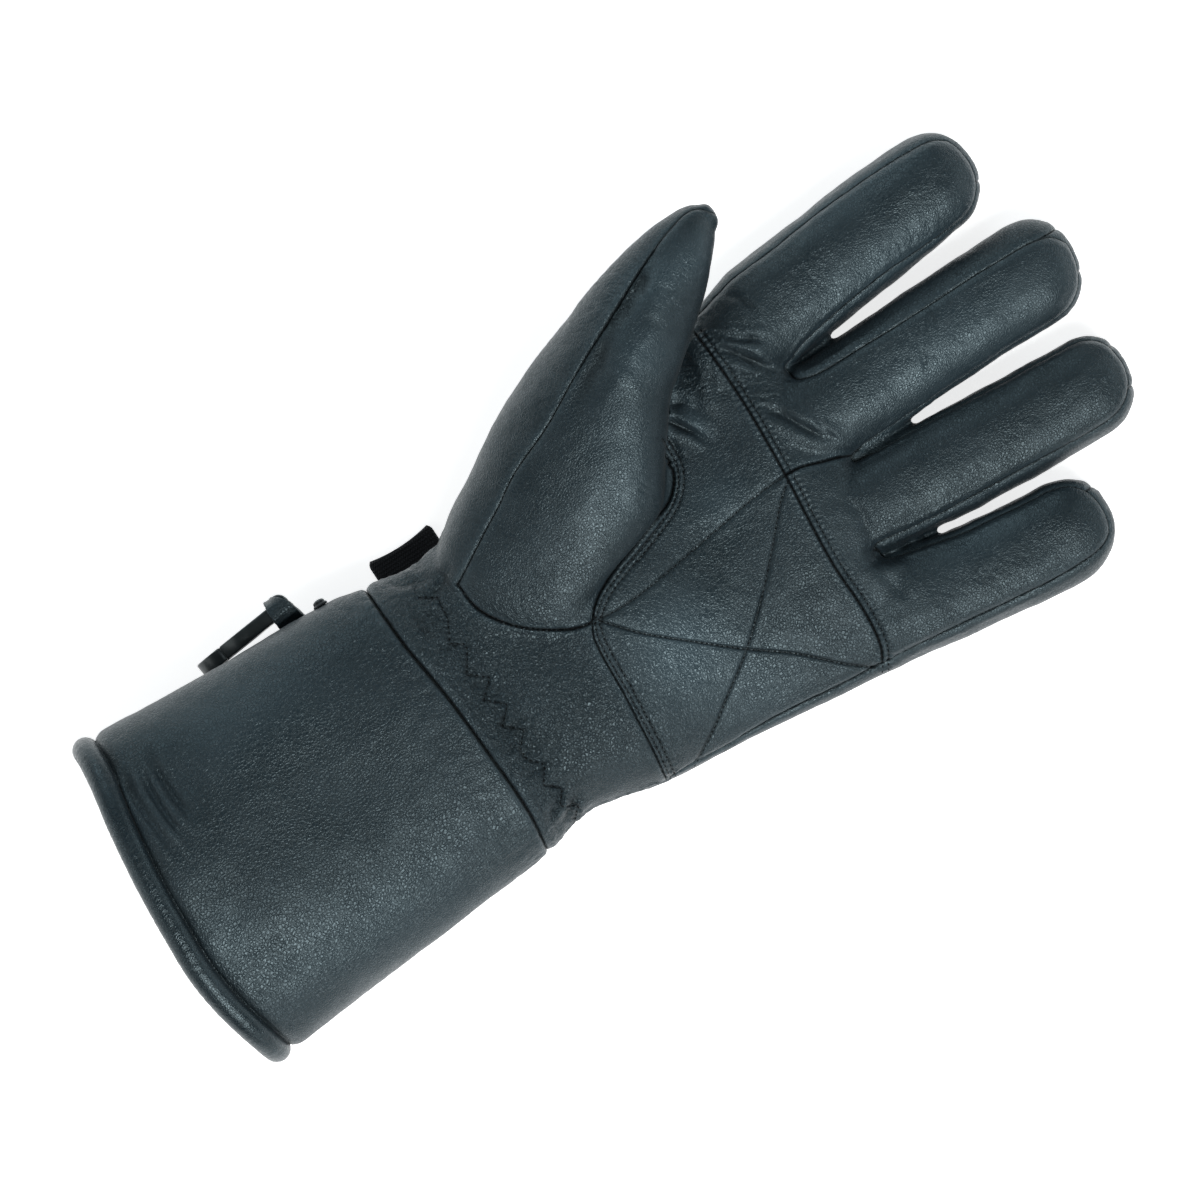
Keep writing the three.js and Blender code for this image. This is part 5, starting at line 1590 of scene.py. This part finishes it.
# %% Webbing, plastic, lacquer and thread
def webbing():
    """A plain weave of thick matte yarn: ribs across the strap, and yarns that go over and under."""
    material, tree, shader, place = new_material("black_webbing")
    split = add_node(tree, "ShaderNodeSeparateXYZ", {0: place}).outputs
    across = maths(tree, "SINE", times(tree, split[0], 2 * math.pi / 1.15), 0)
    along = maths(tree, "SINE", times(tree, split[1], 2 * math.pi / 0.85), 0)
    weave = plus(tree, times(tree, across, along), times(tree, across, 0.6))
    fuzz = noise(tree, place, 3.2, 4.0, 0.7)
    faded = noise(tree, place, 0.12, 3.0)
    faded, lit = scaled(tree, faded, 0.3, 0.7, 0, 1), times(tree, weave, fuzz)
    colour = mixed(tree, faded, (0.005, 0.006, 0.008, 1), (0.011, 0.013, 0.016, 1))
    colour = mixed(tree, scaled(tree, lit, 0.1, 0.9, 0, 0.6), colour, (0.03, 0.034, 0.04, 1))
    tree.links.new(colour, shader.inputs["Base Color"])
    tree.links.new(scaled(tree, fuzz, 0, 1, 0.72, 0.98), shader.inputs["Roughness"])
    set_up(shader, Sheen_Weight=0.25, Sheen_Roughness=0.5, Specular_IOR_Level=0.25)
    tree.links.new(bump(tree, fuzz, 0.08, bump(tree, weave, 0.12)), shader.inputs["Normal"])
    return material


def hard(name, dark, light, rough, metallic, texture_depth):
    """A moulded or lacquered surface with handling marks."""
    material, tree, shader, place = new_material(name)
    marks = noise(tree, place, 0.9, 5.0, 0.7, stretch=((0, 0.5, 1.45), (1, 6, 1)))
    tone = noise(tree, place, 0.2, 3.0)
    tree.links.new(mixed(tree, scaled(tree, tone, 0.3, 0.7, 0, 1), dark, light), shader.inputs["Base Color"])
    tree.links.new(scaled(tree, marks, 0.35, 0.75, rough, rough + 0.16), shader.inputs["Roughness"])
    set_up(shader, Metallic=metallic, Specular_Tint=(0.85, 0.97, 1, 1))
    set_up(shader, Coat_Weight=0.2, Coat_Roughness=0.25)
    texture = noise(tree, place, 2.5, 3.0)
    tree.links.new(bump(tree, texture, texture_depth, bump(tree, marks, 0.02)), shader.inputs["Normal"])
    return material


def thread():
    """Twisted polyester thread."""
    material, tree, shader, place = new_material("black_thread")
    inputs = {"Vector": place, "Scale": 0.9, "Distortion": 1.0}
    twist = add_node(tree, "ShaderNodeTexWave", inputs, bands_direction="DIAGONAL").outputs[1]
    tone = noise(tree, place, 0.5, 2.0)
    colour = mixed(tree, twist, (0.001, 0.0015, 0.002, 1), (0.0025, 0.004, 0.005, 1))
    colour = mixed(tree, scaled(tree, tone, 0.3, 0.7, 0, 0.5), colour, (0.004, 0.006, 0.0075, 1))
    tree.links.new(colour, shader.inputs["Base Color"])
    set_up(shader, Specular_IOR_Level=0.12, Sheen_Weight=0.03)
    tree.links.new(scaled(tree, tone, 0.2, 0.8, 0.6, 0.8), shader.inputs["Roughness"])
    tree.links.new(bump(tree, twist, 0.05), shader.inputs["Normal"])
    return material


strap_piece.data.materials.append(webbing())
moulding = (0.009, 0.013, 0.014, 1), (0.018, 0.024, 0.026, 1)
lacquer = (0.012, 0.014, 0.016, 1), (0.022, 0.025, 0.028, 1)
clip_piece.data.materials.append(hard("black_plastic", *moulding, 0.3, 0, 0.02))
stud_piece.data.materials.append(hard("lacquered_metal", *lacquer, 0.3, 0.55, 0.01))

# %% [markdown]
# The stitches
#
# Every visible seam of the palm side is sewn with the same black thread, and so is the zigzag that
# holds the elastic. One small capsule, set at even steps along each sewing line, makes them all. A
# Geometry Nodes tree does the setting out: it is a machine that we feed with lines. The lines are
# first dropped onto the leather, so that each stitch sits on the surface it holds.

# %% Drop the sewing lines onto the leather
hand_surface = BVHTree.FromPolygons(skin.tolist(), skin_triangles.tolist())


def dropped(line, sink):
    """A line let down onto the leather from above, and pressed in a little."""
    places = []
    for x, y in line.tolist():
        hit, up, _, _ = hand_surface.ray_cast(Vector((x, y, 100)), Vector((0, 0, -1)))
        if hit is not None:
            places.append(np.array(hit - sink * up))
    return np.array(places)


# %% Set the stitches along their lines
MACHINE_INPUTS = {"Line": "Geometry", "Step": "Float", "Thread": "Float", "Length": "Float",
                  "Wobble": "Float", "Seed": "Int", "Finish": "Material"}


def stitch_tree():
    """Line in, stitches out: one capsule at each even step, turned along the line."""
    tree = bpy.data.node_groups.new("stitches_along_a_line", "GeometryNodeTree")
    tree.interface.new_socket("Stitches", in_out="OUTPUT", socket_type="NodeSocketGeometry")
    for name, kind in MACHINE_INPUTS.items():
        tree.interface.new_socket(name, in_out="INPUT", socket_type="NodeSocket" + kind)
    given = tree.nodes.new("NodeGroupInput").outputs
    result = tree.nodes.new("NodeGroupOutput")
    line = add_node(tree, "GeometryNodeMeshToCurve", {"Mesh": given["Line"]}).outputs[0]
    inputs = {"Curve": line, "Length": given["Step"]}
    even = add_node(tree, "GeometryNodeResampleCurve", inputs, mode="LENGTH").outputs[0]
    onward = add_node(tree, "GeometryNodeInputTangent").outputs[0]
    turn = add_node(tree, "FunctionNodeAlignRotationToVector", {"Vector": onward}, axis="X").outputs[0]
    wobble_low = times(tree, given["Wobble"], -1.0)
    spin = add_node(tree, "FunctionNodeRandomValue", {"Seed": given["Seed"]}, data_type="FLOAT")
    tree.links.new(wobble_low, spin.inputs[2])
    tree.links.new(given["Wobble"], spin.inputs[3])
    slant = add_node(tree, "ShaderNodeCombineXYZ", {2: spin.outputs[1]}).outputs[0]
    inputs = {0: turn, 1: slant}
    turn = add_node(tree, "FunctionNodeRotateRotation", inputs, rotation_space="LOCAL").outputs[0]
    ball = add_node(tree, "GeometryNodeMeshUVSphere", {"Segments": 7, "Rings": 5, "Radius": 1.0}).outputs[0]
    inputs = {0: given["Length"], 1: given["Thread"], 2: given["Thread"]}
    size = add_node(tree, "ShaderNodeCombineXYZ", inputs).outputs[0]
    inputs = {"Points": even, "Instance": ball, "Rotation": turn, "Scale": size}
    stitches = add_node(tree, "GeometryNodeInstanceOnPoints", inputs).outputs[0]
    real = add_node(tree, "GeometryNodeRealizeInstances", {0: stitches}).outputs[0]
    real = add_node(tree, "GeometryNodeSetShadeSmooth", {0: real}).outputs[0]
    inputs = {"Geometry": real, "Material": given["Finish"]}
    finished = add_node(tree, "GeometryNodeSetMaterial", inputs).outputs[0]
    tree.links.new(finished, result.inputs[0])
    return tree


STITCH_SHARE, STITCH_SINK = 0.36, 0.12  # how much of each step is stitch, and how deep it is pressed in
WOBBLE, SEED = 0.12, 7  # how far a stitch may turn from its line, in radians
thread_finish = thread()
tree_of_stitches = stitch_tree()


def sewn(name, rows):
    """All the stitches of the sewing lines in one mesh."""
    parts = []
    for line, step, thread_radius, _, _ in rows:
        places = dropped(line, STITCH_SINK)
        thing = bpy.data.objects.new(name, bpy.data.meshes.new(name))
        thing.data.from_pydata(placed(places).tolist(), [(k, k + 1) for k in range(len(places) - 1)], [])
        bpy.context.scene.collection.objects.link(thing)
        machine = thing.modifiers.new("machine", "NODES")
        machine.node_group = tree_of_stitches
        settings = {"Step": step * MM, "Thread": thread_radius * MM, "Length": STITCH_SHARE * step * MM,
                    "Wobble": WOBBLE, "Seed": SEED, "Finish": thread_finish}
        for item in tree_of_stitches.interface.items_tree:
            if item.in_out == "INPUT" and item.name in settings:
                machine[item.identifier] = settings[item.name]
        done = bpy.data.meshes.new_from_object(thing.evaluated_get(bpy.context.evaluated_depsgraph_get()))
        parts.append(triangles_of(done))
        bpy.data.objects.remove(thing)
        bpy.data.meshes.remove(done)
    counts = np.cumsum([0] + [len(points) for points, _ in parts])
    points = np.vstack([points for points, _ in parts])
    mesh = mesh_of(name, points, np.vstack([corners + first for (_, corners), first in zip(parts, counts)]))
    mesh.materials.append(thread_finish)
    return mesh


SEWN_NODES = ["wrist_thumb_panel", "palm_patch", "index_middle_front", "ring_little_front", "thumb_front"]
stitch_piece = piece("palm_stitches", sewn("palm_stitches", SEWING), SEWN_NODES)
print("stitches:", len(stitch_piece.data.polygons), "faces")
